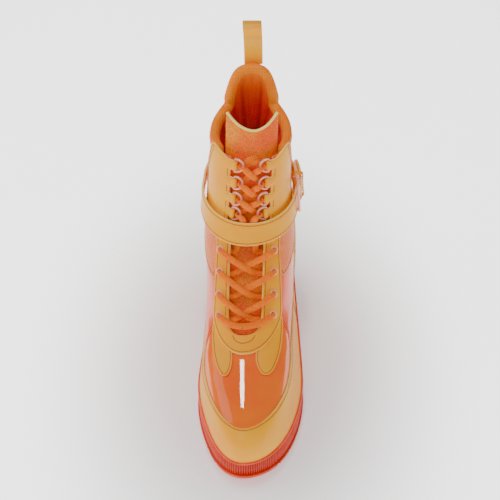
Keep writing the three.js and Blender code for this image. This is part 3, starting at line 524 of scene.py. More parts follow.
def stitch_line(solid, chart, h, pitch, thread, closed=False):
    """Lock stitches along a chart line: a rounded thread on the leather, and between the stitches small dark
    discs, painted shadow that stands for the needle holes. The thread has the first finish and the discs have
    the second."""
    place = on_boot(chart, np.full(len(chart), h) if np.isscalar(h) else h)
    if closed:
        place = np.concatenate([place, place[:1]])
        chart = np.concatenate([chart, chart[:1]])
    run = distance_along(place)
    count = int(run[-1] // pitch)
    if count < 2:
        return
    pitch = run[-1] / count
    at = lambda s: at_distances(s, run, place)
    normals_at = lambda s: last_normal(at_distances(s, run, chart))
    angle = circle(THREAD_SIDES)
    ring = np.stack([np.cos(angle), np.sin(angle)], 1)

    centre = (np.arange(count) + 0.5) * pitch
    normal = normals_at(centre)
    tangent = unit(at(centre + 0.4) - at(centre - 0.4))
    side = unit(np.cross(normal, tangent))
    mid = at(centre)
    thread_faces = []
    for k in range(len(THREAD_RINGS) - 1):
        rings = ring_faces(THREAD_SIDES * k, THREAD_SIDES * (k + 1), THREAD_SIDES)
        thread_faces += [face[::-1] for face in rings]
    for i in range(count):
        points = []
        for along, size, rise in THREAD_RINGS:
            here = mid[i] + tangent[i] * along * pitch * STITCH_SHARE + normal[i] * rise * thread
            round_it = side[i] * ring[:, :1] + normal[i] * ring[:, 1:] * 0.8
            points.append(here + round_it * thread * size)
        solid.add(np.concatenate(points), thread_faces)

    # painted shadow: a small dark disc on the leather at each needle hole
    hole = np.arange(count + 1) * pitch
    normal = normals_at(hole)
    tangent = unit(at(np.minimum(hole + 0.4, run[-1])) - at(np.maximum(hole - 0.4, 0)))
    side = unit(np.cross(normal, tangent))
    mid = at(hole)
    hole_faces = [(k, (k + 1) % THREAD_SIDES, THREAD_SIDES) for k in range(THREAD_SIDES)]
    for i in range(len(hole)):
        disc = mid[i] + tangent[i] * ring[:, :1] * thread * 1.1 + side[i] * ring[:, 1:] * thread * 0.95
        top = mid[i] + normal[i] * 0.07
        solid.add(np.concatenate([disc + normal[i] * 0.03, top[None]]), hole_faces, 1)


def rows_inside(solid, loop, distances, h, pitch, thread, spans=None):
    """Rows of stitches that follow a panel's outline at set distances from its edge."""
    if signed_area(loop) < 0:
        loop = loop[::-1]
        if spans is not None:
            n = len(loop)
            spans = [(n - b, n - a) for a, b in spans]
    steps = inward_steps(loop)
    for distance in distances:
        line = inset(loop, steps, distance)
        if spans is None:
            stitch_line(solid, line, h, pitch, thread, closed=True)
        for a, b in spans or []:
            index = np.arange(a, b + 1) % len(loop)
            stitch_line(solid, line[index], h, pitch, thread)


# ---------------------------------------------------------------- materials
def linear(hex_colour):
    """Linear RGBA of an sRGB hex colour."""
    value = [int(hex_colour[i:i + 2], 16) / 255 for i in (1, 3, 5)]
    return [c / 12.92 if c <= 0.04045 else ((c + 0.055) / 1.055) ** 2.4 for c in value] + [1.0]


def node(tree, kind, settings=None, links=None):
    """Adds a node. settings are attributes or input values, links map inputs to outputs."""
    made = tree.nodes.new(kind)
    for key, value in (settings or {}).items():
        if hasattr(made, key) and key not in made.inputs:
            setattr(made, key, value)
        else:
            made.inputs[key].default_value = value
    for key, source in (links or {}).items():
        tree.links.new(source, made.inputs[key])
    return made


def blank(name):
    """A new material's tree and its shader."""
    material = bpy.data.materials.new(name)
    material.use_nodes = True
    tree = material.node_tree
    tree.nodes.clear()
    shader = tree.nodes.new("ShaderNodeBsdfPrincipled")
    node(tree, "ShaderNodeOutputMaterial", links={"Surface": shader.outputs[0]})
    return material, tree, shader


def shade(tree, where, dark, light, scale, spread=(0.35, 0.65)):
    """A colour that wanders between two hex colours. scale is in cycles per metre."""
    cloud = node(tree, "ShaderNodeTexNoise", {"Scale": scale, "Detail": 3.0}, {"Vector": where})
    ramp = node(tree, "ShaderNodeValToRGB", links={"Fac": cloud.outputs["Fac"]})
    ramp.color_ramp.elements[0].position, ramp.color_ramp.elements[1].position = spread
    ramp.color_ramp.elements[0].color = linear(dark)
    ramp.color_ramp.elements[1].color = linear(light)
    return ramp.outputs["Color"]


def remap(tree, value, low, high, start, end, smooth=False):
    """Takes a value between low and high to one between start and end."""
    kind = {"interpolation_type": "SMOOTHSTEP"} if smooth else {}
    span = {"From Min": low, "From Max": high, "To Min": start, "To Max": end}
    return node(tree, "ShaderNodeMapRange", {**kind, **span}, {"Value": value}).outputs[0]


def bumped(tree, shader, height, strength, depth):
    """Raises the surface by a height pattern, depth in millimetres."""
    bump = node(tree, "ShaderNodeBump", {"Strength": strength, "Distance": depth * MM}, {"Height": height})
    tree.links.new(bump.outputs["Normal"], shader.inputs["Normal"])


def mix_painted_shading(tree, colour, amount, deep):
    """Mixes a colour towards a deeper one by an amount between 0 and 1, to paint shade; mixed towards a paler
    one, it paints light.
    """
    mixed = node(tree, "ShaderNodeMix", {"data_type": "RGBA"})
    tree.links.new(amount, mixed.inputs[0])
    tree.links.new(colour, mixed.inputs[6])
    mixed.inputs[7].default_value = linear(deep)
    return mixed.outputs[2]


def leather(name, dark, light, roughness, grain_mm, grain_depth, coat=0.0, coat_roughness=0.1,
            spread=(0.3, 0.7), valley_shade=None, specular=0.3):
    """Tanned and finished leather. Grain cells of a real size catch the light, and the dye varies a little.
    valley is a darker colour painted between the pebbles of the grain, as painted shade."""
    material, tree, shader = blank(name)
    where = node(tree, "ShaderNodeTexCoord").outputs["Object"]
    colour = shade(tree, where, dark, light, 28, spread)
    if valley_shade:
        wobble = node(tree, "ShaderNodeTexNoise", {"Scale": 260.0, "Detail": 2.0}, {"Vector": where})
        moved = node(tree, "ShaderNodeMix", {"data_type": "VECTOR"})
        moved.inputs[0].default_value = 0.0022
        tree.links.new(where, moved.inputs[4])
        tree.links.new(wobble.outputs["Color"], moved.inputs[5])
        edges = node(tree, "ShaderNodeTexVoronoi", {"feature": "DISTANCE_TO_EDGE", "Scale": 1000 / grain_mm},
                     {"Vector": moved.outputs[1]})
        # painted shade: the valleys between the grain's pebbles are mixed towards the darker valley colour
        valleys = remap(tree, edges.outputs["Distance"], 0.02, 0.2, 0.62, 0.0)
        colour = mix_painted_shading(tree, colour, valleys, valley_shade)
    tree.links.new(colour, shader.inputs["Base Color"])
    shader.inputs["Specular IOR Level"].default_value = specular
    cells = node(tree, "ShaderNodeTexVoronoi", {
        "feature": "SMOOTH_F1", "Scale": 1000 / grain_mm, "Smoothness": 0.6}, {"Vector": where})
    pores = node(tree, "ShaderNodeTexNoise", {"Scale": 1800 / grain_mm, "Detail": 4.0}, {"Vector": where})
    both = node(tree, "ShaderNodeMath", {"operation": "ADD"},
                {0: cells.outputs["Distance"], 1: pores.outputs["Fac"]})
    bump = node(tree, "ShaderNodeBump", {"Strength": 1.0, "Distance": grain_depth * MM},
                {"Height": both.outputs[0]})
    ripple = node(tree, "ShaderNodeTexNoise", {"Scale": 70.0, "Detail": 2.0}, {"Vector": where})
    soft = node(tree, "ShaderNodeBump", {"Strength": 1.0, "Distance": 0.35 * MM},
                {"Height": ripple.outputs["Fac"], "Normal": bump.outputs["Normal"]})
    tree.links.new(soft.outputs["Normal"], shader.inputs["Normal"])
    shader.inputs["Roughness"].default_value = roughness
    shader.inputs["IOR"].default_value = 1.5
    shader.inputs["Coat Weight"].default_value = coat
    shader.inputs["Coat Roughness"].default_value = coat_roughness
    return material


def gold_leather():
    """Smooth calf leather, dyed golden yellow and lightly waxed: soft broad highlights, hair-fine grain."""
    return leather("gold calf leather, waxed", "#FFA200", "#FFB400", 0.4, 0.9, 0.05, 0.05, 0.25,
                   specular=0.22)


def patent_leather():
    """Patent leather, orange under a poured clear film: mirror highlights that wander a little."""
    return leather("orange patent leather", "#FF6400", "#FF7800", 0.3, 2.2, 0.003, 1.0, 0.03, specular=0.0)


def coral_leather():
    """Patent leather in coral: the same film over a paler dye."""
    return leather("coral patent leather", "#FF5C30", "#FF7044", 0.3, 2.2, 0.006, 1.0, 0.06, specular=0.0)


def pebbled_leather():
    """Drum-tumbled leather with a raised pebble grain of about 1.5 mm: broken, sparkling highlights."""
    # the valley colour is painted shade between the pebbles
    return leather("pebbled golden leather, tumbled", "#FF8A48", "#FFA064", 0.45, 1.7, 0.4,
                   valley_shade="#F4581C")


def tongue_leather():
    """The tongue's own pebbled leather, dyed a deeper orange, with red painted shade between the pebbles of
    the grain.
    """
    # the valley colour is painted shade between the pebbles
    return leather("pebbled orange tongue leather", "#FF6A00", "#FFA000", 0.48, 1.9, 0.45, spread=(0.4, 0.6),
                   valley_shade="#E42C00")


def cut_edge():
    """Painted cut edge: a pale, slightly fibrous line that outlines each smooth panel."""
    material, tree, shader = blank("painted cut edge, pale cream")
    where = node(tree, "ShaderNodeTexCoord").outputs["Object"]
    tree.links.new(shade(tree, where, "#FFDC60", "#FFEC90", 900), shader.inputs["Base Color"])
    shader.inputs["Roughness"].default_value = 0.6
    return material


def cloth(name, dark, light, deep, thread_mm, depth):
    """Woven textile. Crossing threads of a real pitch break up the light, with a soft sheen, and the gaps
    between them are painted darker as painted shade.
    """
    material, tree, shader = blank(name)
    where = node(tree, "ShaderNodeTexCoord").outputs["Object"]
    colour = shade(tree, where, dark, light, 60)
    threads = []
    for axis in ("X", "Z"):
        threads.append(node(tree, "ShaderNodeTexWave", {
            "wave_type": "BANDS", "bands_direction": axis, "Scale": 1000 / thread_mm / 6.28,
            "Distortion": 0.6, "Detail": 1.0, "Detail Scale": 2.0}, {"Vector": where}).outputs["Fac"])
    weave = node(tree, "ShaderNodeMath", {"operation": "ADD"}, {0: threads[0], 1: threads[1]})
    # painted shade: the gaps of the weave are mixed towards the deep colour
    gaps = remap(tree, weave.outputs[0], 0.25, 1.1, 0.42, 0.0)
    tree.links.new(mix_painted_shading(tree, colour, gaps, deep), shader.inputs["Base Color"])
    bumped(tree, shader, weave.outputs[0], 0.8, depth)
    shader.inputs["Roughness"].default_value = 0.85
    shader.inputs["Specular IOR Level"].default_value = 0.2
    shader.inputs["Sheen Weight"].default_value = 0.05
    shader.inputs["Sheen Roughness"].default_value = 0.5
    return material


def lining_cloth():
    """Brushed nylon lining, deep orange-red down in the boot and painted lighter towards the rim as painted
    light, with painted shadow in the collar's folds.
    The weave, about 1.2 mm, is drawn coarse enough to show."""
    material = cloth("brushed nylon lining", "#FF2200", "#FF3600", "#C81000", 1.25, 0.2)
    tree = material.node_tree
    shader = next(n for n in tree.nodes if n.type == "BSDF_PRINCIPLED")
    deep = shader.inputs["Base Color"].links[0].from_socket
    where = node(tree, "ShaderNodeTexCoord").outputs["Object"]
    # painted light: higher up, near the lit rim, the lining is mixed towards a paler orange
    height = node(tree, "ShaderNodeSeparateXYZ", links={0: where}).outputs["Z"]
    rise = remap(tree, height, 232 * MM, 275 * MM, 0.0, 1.0)
    paler = mix_painted_shading(tree, deep, rise, "#FF7E08")
    # painted shadow: the collar's fold shadow, kept in the UV's first coordinate, mixes it towards a dark red
    fold_shadow = node(tree, "ShaderNodeTexCoord").outputs["UV"]
    depth = node(tree, "ShaderNodeSeparateXYZ", links={0: fold_shadow}).outputs["X"]
    tree.links.new(mix_painted_shading(tree, paler, depth, "#B80800"), shader.inputs["Base Color"])
    return material


def rim_cloth():
    """The same lining where it is stretched over the foam of the collar: drawn lighter, as painted light on
    the lit rim, and smoother.
    """
    return cloth("lining over padded rim", "#FF8000", "#FF9418", "#EE5C00", 1.25, 0.15)


def lace_cord():
    """Braided polyester lace: strands cross on a slant about 1.6 mm apart, matt with a soft bloom."""
    material, tree, shader = blank("braided polyester lace")
    spot = node(tree, "ShaderNodeTexCoord")
    turned = node(tree, "ShaderNodeMapping", {"Scale": (0.62, 6.0, 1.0)}, {"Vector": spot.outputs["UV"]})
    braid = []
    for slant in (0.785, -0.785):
        mapped = node(tree, "ShaderNodeMapping", {"Rotation": (0, 0, slant)}, {"Vector": turned.outputs[0]})
        braid.append(node(tree, "ShaderNodeTexWave", {"Scale": 0.45, "Distortion": 0.0},
                          {"Vector": mapped.outputs[0]}).outputs["Fac"])
    both = node(tree, "ShaderNodeMath", {"operation": "MAXIMUM"}, {0: braid[0], 1: braid[1]})
    # painted shade: the gaps between the braid's strands are mixed towards a darker orange
    gaps = remap(tree, both.outputs[0], 0.2, 0.8, 0.7, 0.0)
    colour = shade(tree, spot.outputs["Object"], "#FF6E00", "#FF8A0C", 400)
    tree.links.new(mix_painted_shading(tree, colour, gaps, "#E04000"), shader.inputs["Base Color"])
    shader.inputs["Specular IOR Level"].default_value = 0.2
    bumped(tree, shader, both.outputs[0], 0.7, 0.25)
    shader.inputs["Roughness"].default_value = 0.75
    shader.inputs["Sheen Weight"].default_value = 0.08
    shader.inputs["Sheen Roughness"].default_value = 0.4
    return material


def webbing():
    """Doubled strip of soft golden leather, a little glossy on its bends."""
    return leather("soft golden strip leather", "#FFA000", "#FFB408", 0.4, 0.8, 0.03, 0.1, 0.3)


def rubber(name, dark, light):
    """Moulded rubber compound: satin, with the fine texture of a blasted mould, about 0.6 mm."""
    material, tree, shader = blank(name)
    where = node(tree, "ShaderNodeTexCoord").outputs["Object"]
    tree.links.new(shade(tree, where, dark, light, 90), shader.inputs["Base Color"])
    grit = node(tree, "ShaderNodeTexNoise", {"Scale": 1600.0, "Detail": 2.0}, {"Vector": where})
    bumped(tree, shader, grit.outputs["Fac"], 0.5, 0.05)
    shader.inputs["Roughness"].default_value = 0.42
    shader.inputs["Specular IOR Level"].default_value = 0.3
    return material


def ribbed_rubber():
    """The same rubber on the ribbed band: the grooves are painted darker, as painted shade, and the crests
    keep the plain rubber colour.
    """
    material = rubber("ribbed sole rubber", "#F03808", "#F84818")
    tree = material.node_tree
    shader = next(n for n in tree.nodes if n.type == "BSDF_PRINCIPLED")
    crest = shader.inputs["Base Color"].links[0].from_socket
    mark = node(tree, "ShaderNodeTexCoord").outputs["UV"]
    depth = node(tree, "ShaderNodeSeparateXYZ", links={0: mark}).outputs["X"]
    # painted shade in the grooves, whose share comes in the UV's first coordinate
    tree.links.new(mix_painted_shading(tree, crest, depth, "#8C0A00"), shader.inputs["Base Color"])
    return material


def enamel():
    """Stove enamel over steel wire, coral: a thick glossy skin with faint flow marks."""
    material, tree, shader = blank("coral enamelled wire")
    where = node(tree, "ShaderNodeTexCoord").outputs["Object"]
    tree.links.new(shade(tree, where, "#FF9C80", "#FFB49C", 300), shader.inputs["Base Color"])
    flow = node(tree, "ShaderNodeTexNoise", {"Scale": 500.0, "Detail": 1.0}, {"Vector": where})
    bumped(tree, shader, flow.outputs["Fac"], 0.3, 0.05)
    shader.inputs["Roughness"].default_value = 0.25
    shader.inputs["Coat Weight"].default_value = 1.0
    shader.inputs["Coat Roughness"].default_value = 0.05
    return material


def plain(name, dark, light, roughness, scale=200):
    """A matt finish whose colour wanders a little."""
    material, tree, shader = blank(name)
    where = node(tree, "ShaderNodeTexCoord").outputs["Object"]
    tree.links.new(shade(tree, where, dark, light, scale), shader.inputs["Base Color"])
    shader.inputs["Roughness"].default_value = roughness
    return material


FINISHES = {}


def finish_of(key):
    """Each finish is made once and shared."""
    if key not in FINISHES:
        FINISHES[key] = {
            "gold": gold_leather,
            "patent": patent_leather,
            "coral": coral_leather,
            "pebbled": pebbled_leather,
            "tongue": tongue_leather,
            "edge": cut_edge,
            "lining": lining_cloth,
            "rim": rim_cloth,
            "lace": lace_cord,
            "webbing": webbing,
            "enamel": enamel,
            "ribs": ribbed_rubber,
            # bonded nylon thread, slightly shiny in the middle of each stitch
            "thread": lambda: plain("bonded nylon thread", "#B43A00", "#C84C00", 0.5, 600),
            # painted shadow: the dark disc that stands for the shade in each needle hole
            "hole": lambda: plain("needle hole", "#4A1000", "#641800", 0.9, 600),
            "piping": lambda: plain("folded orange piping", "#F03000", "#F84008", 0.45, 300),
            "sole": lambda: rubber("red-orange sole rubber", "#DC1C00", "#E82C08"),
            "lip": lambda: rubber("coral sole rubber", "#F04420", "#F85A34"),
            "foam": lambda: plain("pale foam", "#F0C890", "#FFDDAA", 0.95),
            "board": lambda: plain("pressed fibre board", "#C8A27A", "#DEBC92", 0.9),
            "steel": lambda: plain("plain steel strip", "#A8ACB0", "#C0C4C8", 0.4),
        }[key]()
    return FINISHES[key]


def give(piece, body, slot, *nodes):
    """The piece rides on a body and stands for CAD nodes. slot is not used."""
    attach(piece, body)
    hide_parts(*nodes)


def sewn(seam, name):
    """The stitches of a seam, as a piece of their own on the boot."""
    piece = seam.make(name, "thread", "hole")
    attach(piece, "boot")


# ---------------------------------------------------------------- sizes, lights and camera a user may change
class BootSizes(bpy.types.PropertyGroup):
    """Sizes of the boot's finer details, in millimetres."""

    stitch_pitch: bpy.props.FloatProperty(
        name="Stitch pitch", description="Length of one stitch and its hole, mm", default=2.9, min=1.5, max=6)
    thread_radius: bpy.props.FloatProperty(
        name="Thread radius", description="Radius of the sewing thread, mm", default=0.42, min=0.1, max=1)
    lace_width: bpy.props.FloatProperty(
        name="Lace width", description="Width of the lace where it lies free, mm", default=6.2, min=2, max=8)
    lace_thickness: bpy.props.FloatProperty(
        name="Lace thickness", description="Thickness of the lace where it lies free, mm", default=4.0,
        min=1, max=6)
    rib_pitch: bpy.props.FloatProperty(
        name="Rib pitch", description="Distance between the sole band's ribs, mm", default=2.1, min=1, max=6)
    rib_depth: bpy.props.FloatProperty(
        name="Rib depth", description="Depth between the sole band's ribs, mm", default=0.9, min=0.1, max=2)
    spacing: bpy.props.FloatProperty(
        name="Mesh spacing", description="Spacing of the leather's points, mm", default=2.8, min=1, max=8)


class StageSettings(bpy.types.PropertyGroup):
    """Light and camera."""

    key: bpy.props.FloatProperty(
        name="Key light", description="Power of the main soft light", default=6.5, subtype="POWER")
    strip: bpy.props.FloatProperty(
        name="Strip light", description="Power of the narrow light above", default=4.0, subtype="POWER")
    front: bpy.props.FloatProperty(
        name="Front light", description="Power of the soft light in front", default=6.0, subtype="POWER")
    # painted light: the floor glows, weakly right under the boot as a painted shadow and strongly in a pool
    # round it
    floor: bpy.props.FloatProperty(
        name="Floor glow", description="Glow of the floor under the boot", default=0.4)
    pool: bpy.props.FloatProperty(
        name="Pool glow", description="Glow of the lit floor round the boot", default=2.4)
    world: bpy.props.FloatProperty(
        name="Sky", description="Strength of the even light from all round", default=0.36)
    lens: bpy.props.FloatProperty(name="Lens", description="Focal length, mm", default=114.5)


# ---------------------------------------------------------------- layers of the upper, in millimetres
LEATHER = 1.5
BASE = (-2.2, -0.3)        # underside and face of the panels on the last
OVER = (-0.2, LEATHER)     # of the overlays sewn on them
OUTER = (-0.1, 3.3)        # of the lace stay, over all of those
TONGUE = (-9.0, -6.4)
COLLAR = 11.97             # level of the shaft's top edge
TAB = [[12.3, 0.872], [12.7, 0.903], [12.93, 0.935], [12.99, 1]]


def mirrored(points):
    """The same chart points on the other side of the boot."""
    return [[level, -around] for level, around in points]


def there_and_back(points):
    """A line of chart points that ends on the instep line, and its mirror image back again."""
    return [*points, *mirrored(points[:-1])[::-1]]


def on_side(runs, sign):
    """An outline's runs, drawn for the lateral side, on the side of a sign."""
    return [run if sign > 0 else mirrored(run) for run in runs]


# ---------------------------------------------------------------- pieces
def top_of_sole(y):
    """Height of the seam between the ribbed band and the upper."""
    return PLATFORM + HEEL_RISE * (y + HALF_LENGTH) / SOLE_LENGTH - 1.4


def foot_of_sole(y):
    """Height of the tread, which springs up at the toe."""
    return TOE_SPRING * np.maximum(1 - (y + HALF_LENGTH) / TOE_SPRING_LENGTH, 0) ** 2


def lifted(height, distance):
    """A height function, raised by a distance."""
    return lambda y: height(y) + distance


class BOOT_OT_sole(bpy.types.Operator):
    """Tread, ribbed band and welt of the platform sole"""

    bl_idname = "boot.sole"
    bl_label = "Sole"

    SMOOTH_COUNT = 480     # points round the tread and the lip
    GROOVE_PITCH = 17.0
    GROOVE_TURN = 0.12

    def outline(self, offset, count):
        """Points round the sole, offset outwards from the last's foot, and the girth."""
        turns = np.arange(count) / count * 2 - 1
        place = on_last(np.stack([np.zeros(count), turns], 1))
        place[:, 2] = 0
        for _ in range(4):
            place = relaxed(place)
        closed = np.concatenate([place, place[:1]])
        run = distance_along(closed)
        place = at_distances(np.arange(count) / count * run[-1], run, closed)
        along = unit(np.roll(place, -1, 0) - np.roll(place, 1, 0))
        normal = np.stack([along[:, 1], -along[:, 0], np.zeros(count)], 1)
        return place + normal * np.reshape(offset, (-1, 1)), run[-1]

    def wall(self, solid, rows, count, slots, marks=None):
        """A wall round the sole from rows of (offset, height function). offset may vary round it."""
        starts = []
        for offset, height in rows:
            place, _ = self.outline(offset * np.ones(count), count)
            place[:, 2] = height(place[:, 1])
            starts.append(solid.add(place, [], 0, marks))
        for k, (low, high) in enumerate(zip(starts, starts[1:])):
            faces = ring_faces(low, high, count)
            solid.faces += faces
            solid.slots += [slots[min(k, len(slots) - 1)]] * len(faces)
        return starts

    def cap(self, solid, start, count, up):
        """Closes a loop of the wall with a strip of quads across the sole."""
        half = count // 2
        quads = []
        for i in range(half):
            quad = [start + v % count for v in (half + i, half + i + 1, half - i - 1, half - i)]
            quad = list(dict.fromkeys(quad))
            if len(quad) > 2:
                quads.append(tuple(quad if not up else quad[::-1]))
        solid.faces += quads
        solid.slots += [0] * len(quads)

    def grooves(self):
        """Slanted bars that cut the tread's grooves, in two rows."""
        bars = Solid()
        for y in np.arange(-HALF_LENGTH + 22, HALF_LENGTH - 14, self.GROOVE_PITCH):
            rise = foot_of_sole(np.array([y]))[0]
            for side in (-1, 1):
                turn = side * self.GROOVE_TURN
                corners = []
                for half, w in ((2.25, -9), (1.9, 4)):
                    for u, v in ((-23, -half), (23, -half), (23, half), (-23, half)):
                        corners.append([side * 41 + u * math.cos(turn) - v * math.sin(turn),
                                        y + u * math.sin(turn) + v * math.cos(turn), rise + w])
                walls = [(k, (k + 1) % 4, (k + 1) % 4 + 4, k + 4) for k in range(4)]
                bars.add(corners, [(0, 3, 2, 1), (4, 5, 6, 7), *walls])
        return bars.make("groove_tool", "sole")

    def tread(self, context):
        """Outsole with a smooth lip above the tread, and grooves in its underside."""
        low = foot_of_sole
        tread = Solid()
        starts = self.wall(tread, [
            (-12.0, low), (1.4, low), (2.6, lifted(low, 0.5)), (3.3, lifted(low, 1.4)),
            (3.7, lifted(low, LIP_HEIGHT - 1.4)), (3.5, lifted(low, LIP_HEIGHT - 0.5)),
            (2.6, lifted(low, LIP_HEIGHT)), (-5, lifted(low, LIP_HEIGHT))],
            self.SMOOTH_COUNT, [0, 0, 0, 1, 1, 1, 0])
        self.cap(tread, starts[0], self.SMOOTH_COUNT, False)
        self.cap(tread, starts[-1], self.SMOOTH_COUNT, True)
        piece = tread.make("tread", "sole", "lip")
        tool = self.grooves()
        cut = piece.modifiers.new("grooves", "BOOLEAN")
        cut.operation = "DIFFERENCE"
        cut.object = tool
        cut.solver = "EXACT"
        context.view_layer.update()
        baked = bpy.data.meshes.new_from_object(piece.evaluated_get(context.evaluated_depsgraph_get()))
        piece.modifiers.clear()
        piece.data = baked
        bpy.data.objects.remove(tool)
        baked.set_sharp_from_angle(angle=math.radians(40))
        give(piece, "boot", "sole_rubber", "outsole")

    def ribs(self, sizes):
        """Upright ribs all round the band, each six points wide."""
        _, girth = self.outline(0.0, self.SMOOTH_COUNT)
        ribs = int(girth / sizes.rib_pitch)
        shape = np.tile([0.0, 0.0, 0.35, 1.0, 1.0, 0.35], ribs)
        wave = -shape * sizes.rib_depth
        low = lifted(foot_of_sole, LIP_HEIGHT + 0.1)
        high = lifted(top_of_sole, WELT_RISE - WELT_HEIGHT - 0.1)
        between = lambda share: (lambda y: low(y) + (high(y) - low(y)) * share)
        band = Solid()
        # each point's share of groove goes into the UV, where the ribbed rubber paints it darker as painted
        # shade
        self.wall(band, [
            (-4, between(0.0)), (1.0, between(0.0)), (1.1 + wave * 0.2, between(0.03)),
            (2.5 + wave, between(0.07)), (2.7 + wave, between(0.5)), (2.6 + wave, between(0.93)),
            (1.5 + wave * 0.2, between(0.97)), (1.2, between(1.0)), (-4, between(1.0))],
            len(wave), [0], np.stack([shape, np.zeros(len(wave))], 1))
        give(band.make("ribbed_side_band", "ribs", uv=True), "boot", "sole_rubber", "ribbed_band")

    def lip(self):
        """Smooth rounded lip between the ribbed band and the upper."""
        crown = lifted(top_of_sole, WELT_RISE)
        down = lambda share: lifted(crown, -WELT_HEIGHT * share)
        lip = Solid()
        self.wall(lip, [
            (-4, down(1)), (2.0, down(1)), (2.8, lifted(crown, -WELT_HEIGHT + 0.3)), (3.2, down(0.65)),
            (3.2, down(0.4)), (2.8, down(0.15)), (2.0, crown), (-4.5, top_of_sole)], self.SMOOTH_COUNT, [1])
        give(lip.make("welt_lip", "sole", "lip"), "boot", "sole_rubber", "welt")

    def hidden_layers(self):
        """Finishes of the CAD solids that lie inside the boot."""
        for name, key in [("midsole_core", "foam"), ("insole_board", "board"), ("toe_puff", "board"),
                          ("heel_counter", "board"), ("shank", "steel"), ("sockliner", "lining")]:
            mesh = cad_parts[name].data
            mesh.materials.clear()
            mesh.materials.append(finish_of(key))

    def execute(self, context):
        self.tread(context)
        self.ribs(context.scene.boot_sizes)
        self.lip()
        self.hidden_layers()
        return {"FINISHED"}


def creases(level, around, lines):
    """Height change from soft folds. A line is (level, around, level, around, half width in mm, depth)."""
    total = np.zeros(len(level))
    p = np.stack([level, around], 1) * FLAT
    for l0, a0, l1, a1, width, depth in lines:
        a, b = np.array([l0, a0]) * FLAT, np.array([l1, a1]) * FLAT
        t = np.clip(((p - a) @ (b - a)) / ((b - a) @ (b - a)), 0, 1)
        gap = np.linalg.norm(p - (a + t[:, None] * (b - a)), axis=1)
        fade = np.sin(np.clip(t, 0.03, 0.97) * math.pi) ** 0.5
        total += depth * np.exp(-(gap / width) ** 2) * fade
    return total


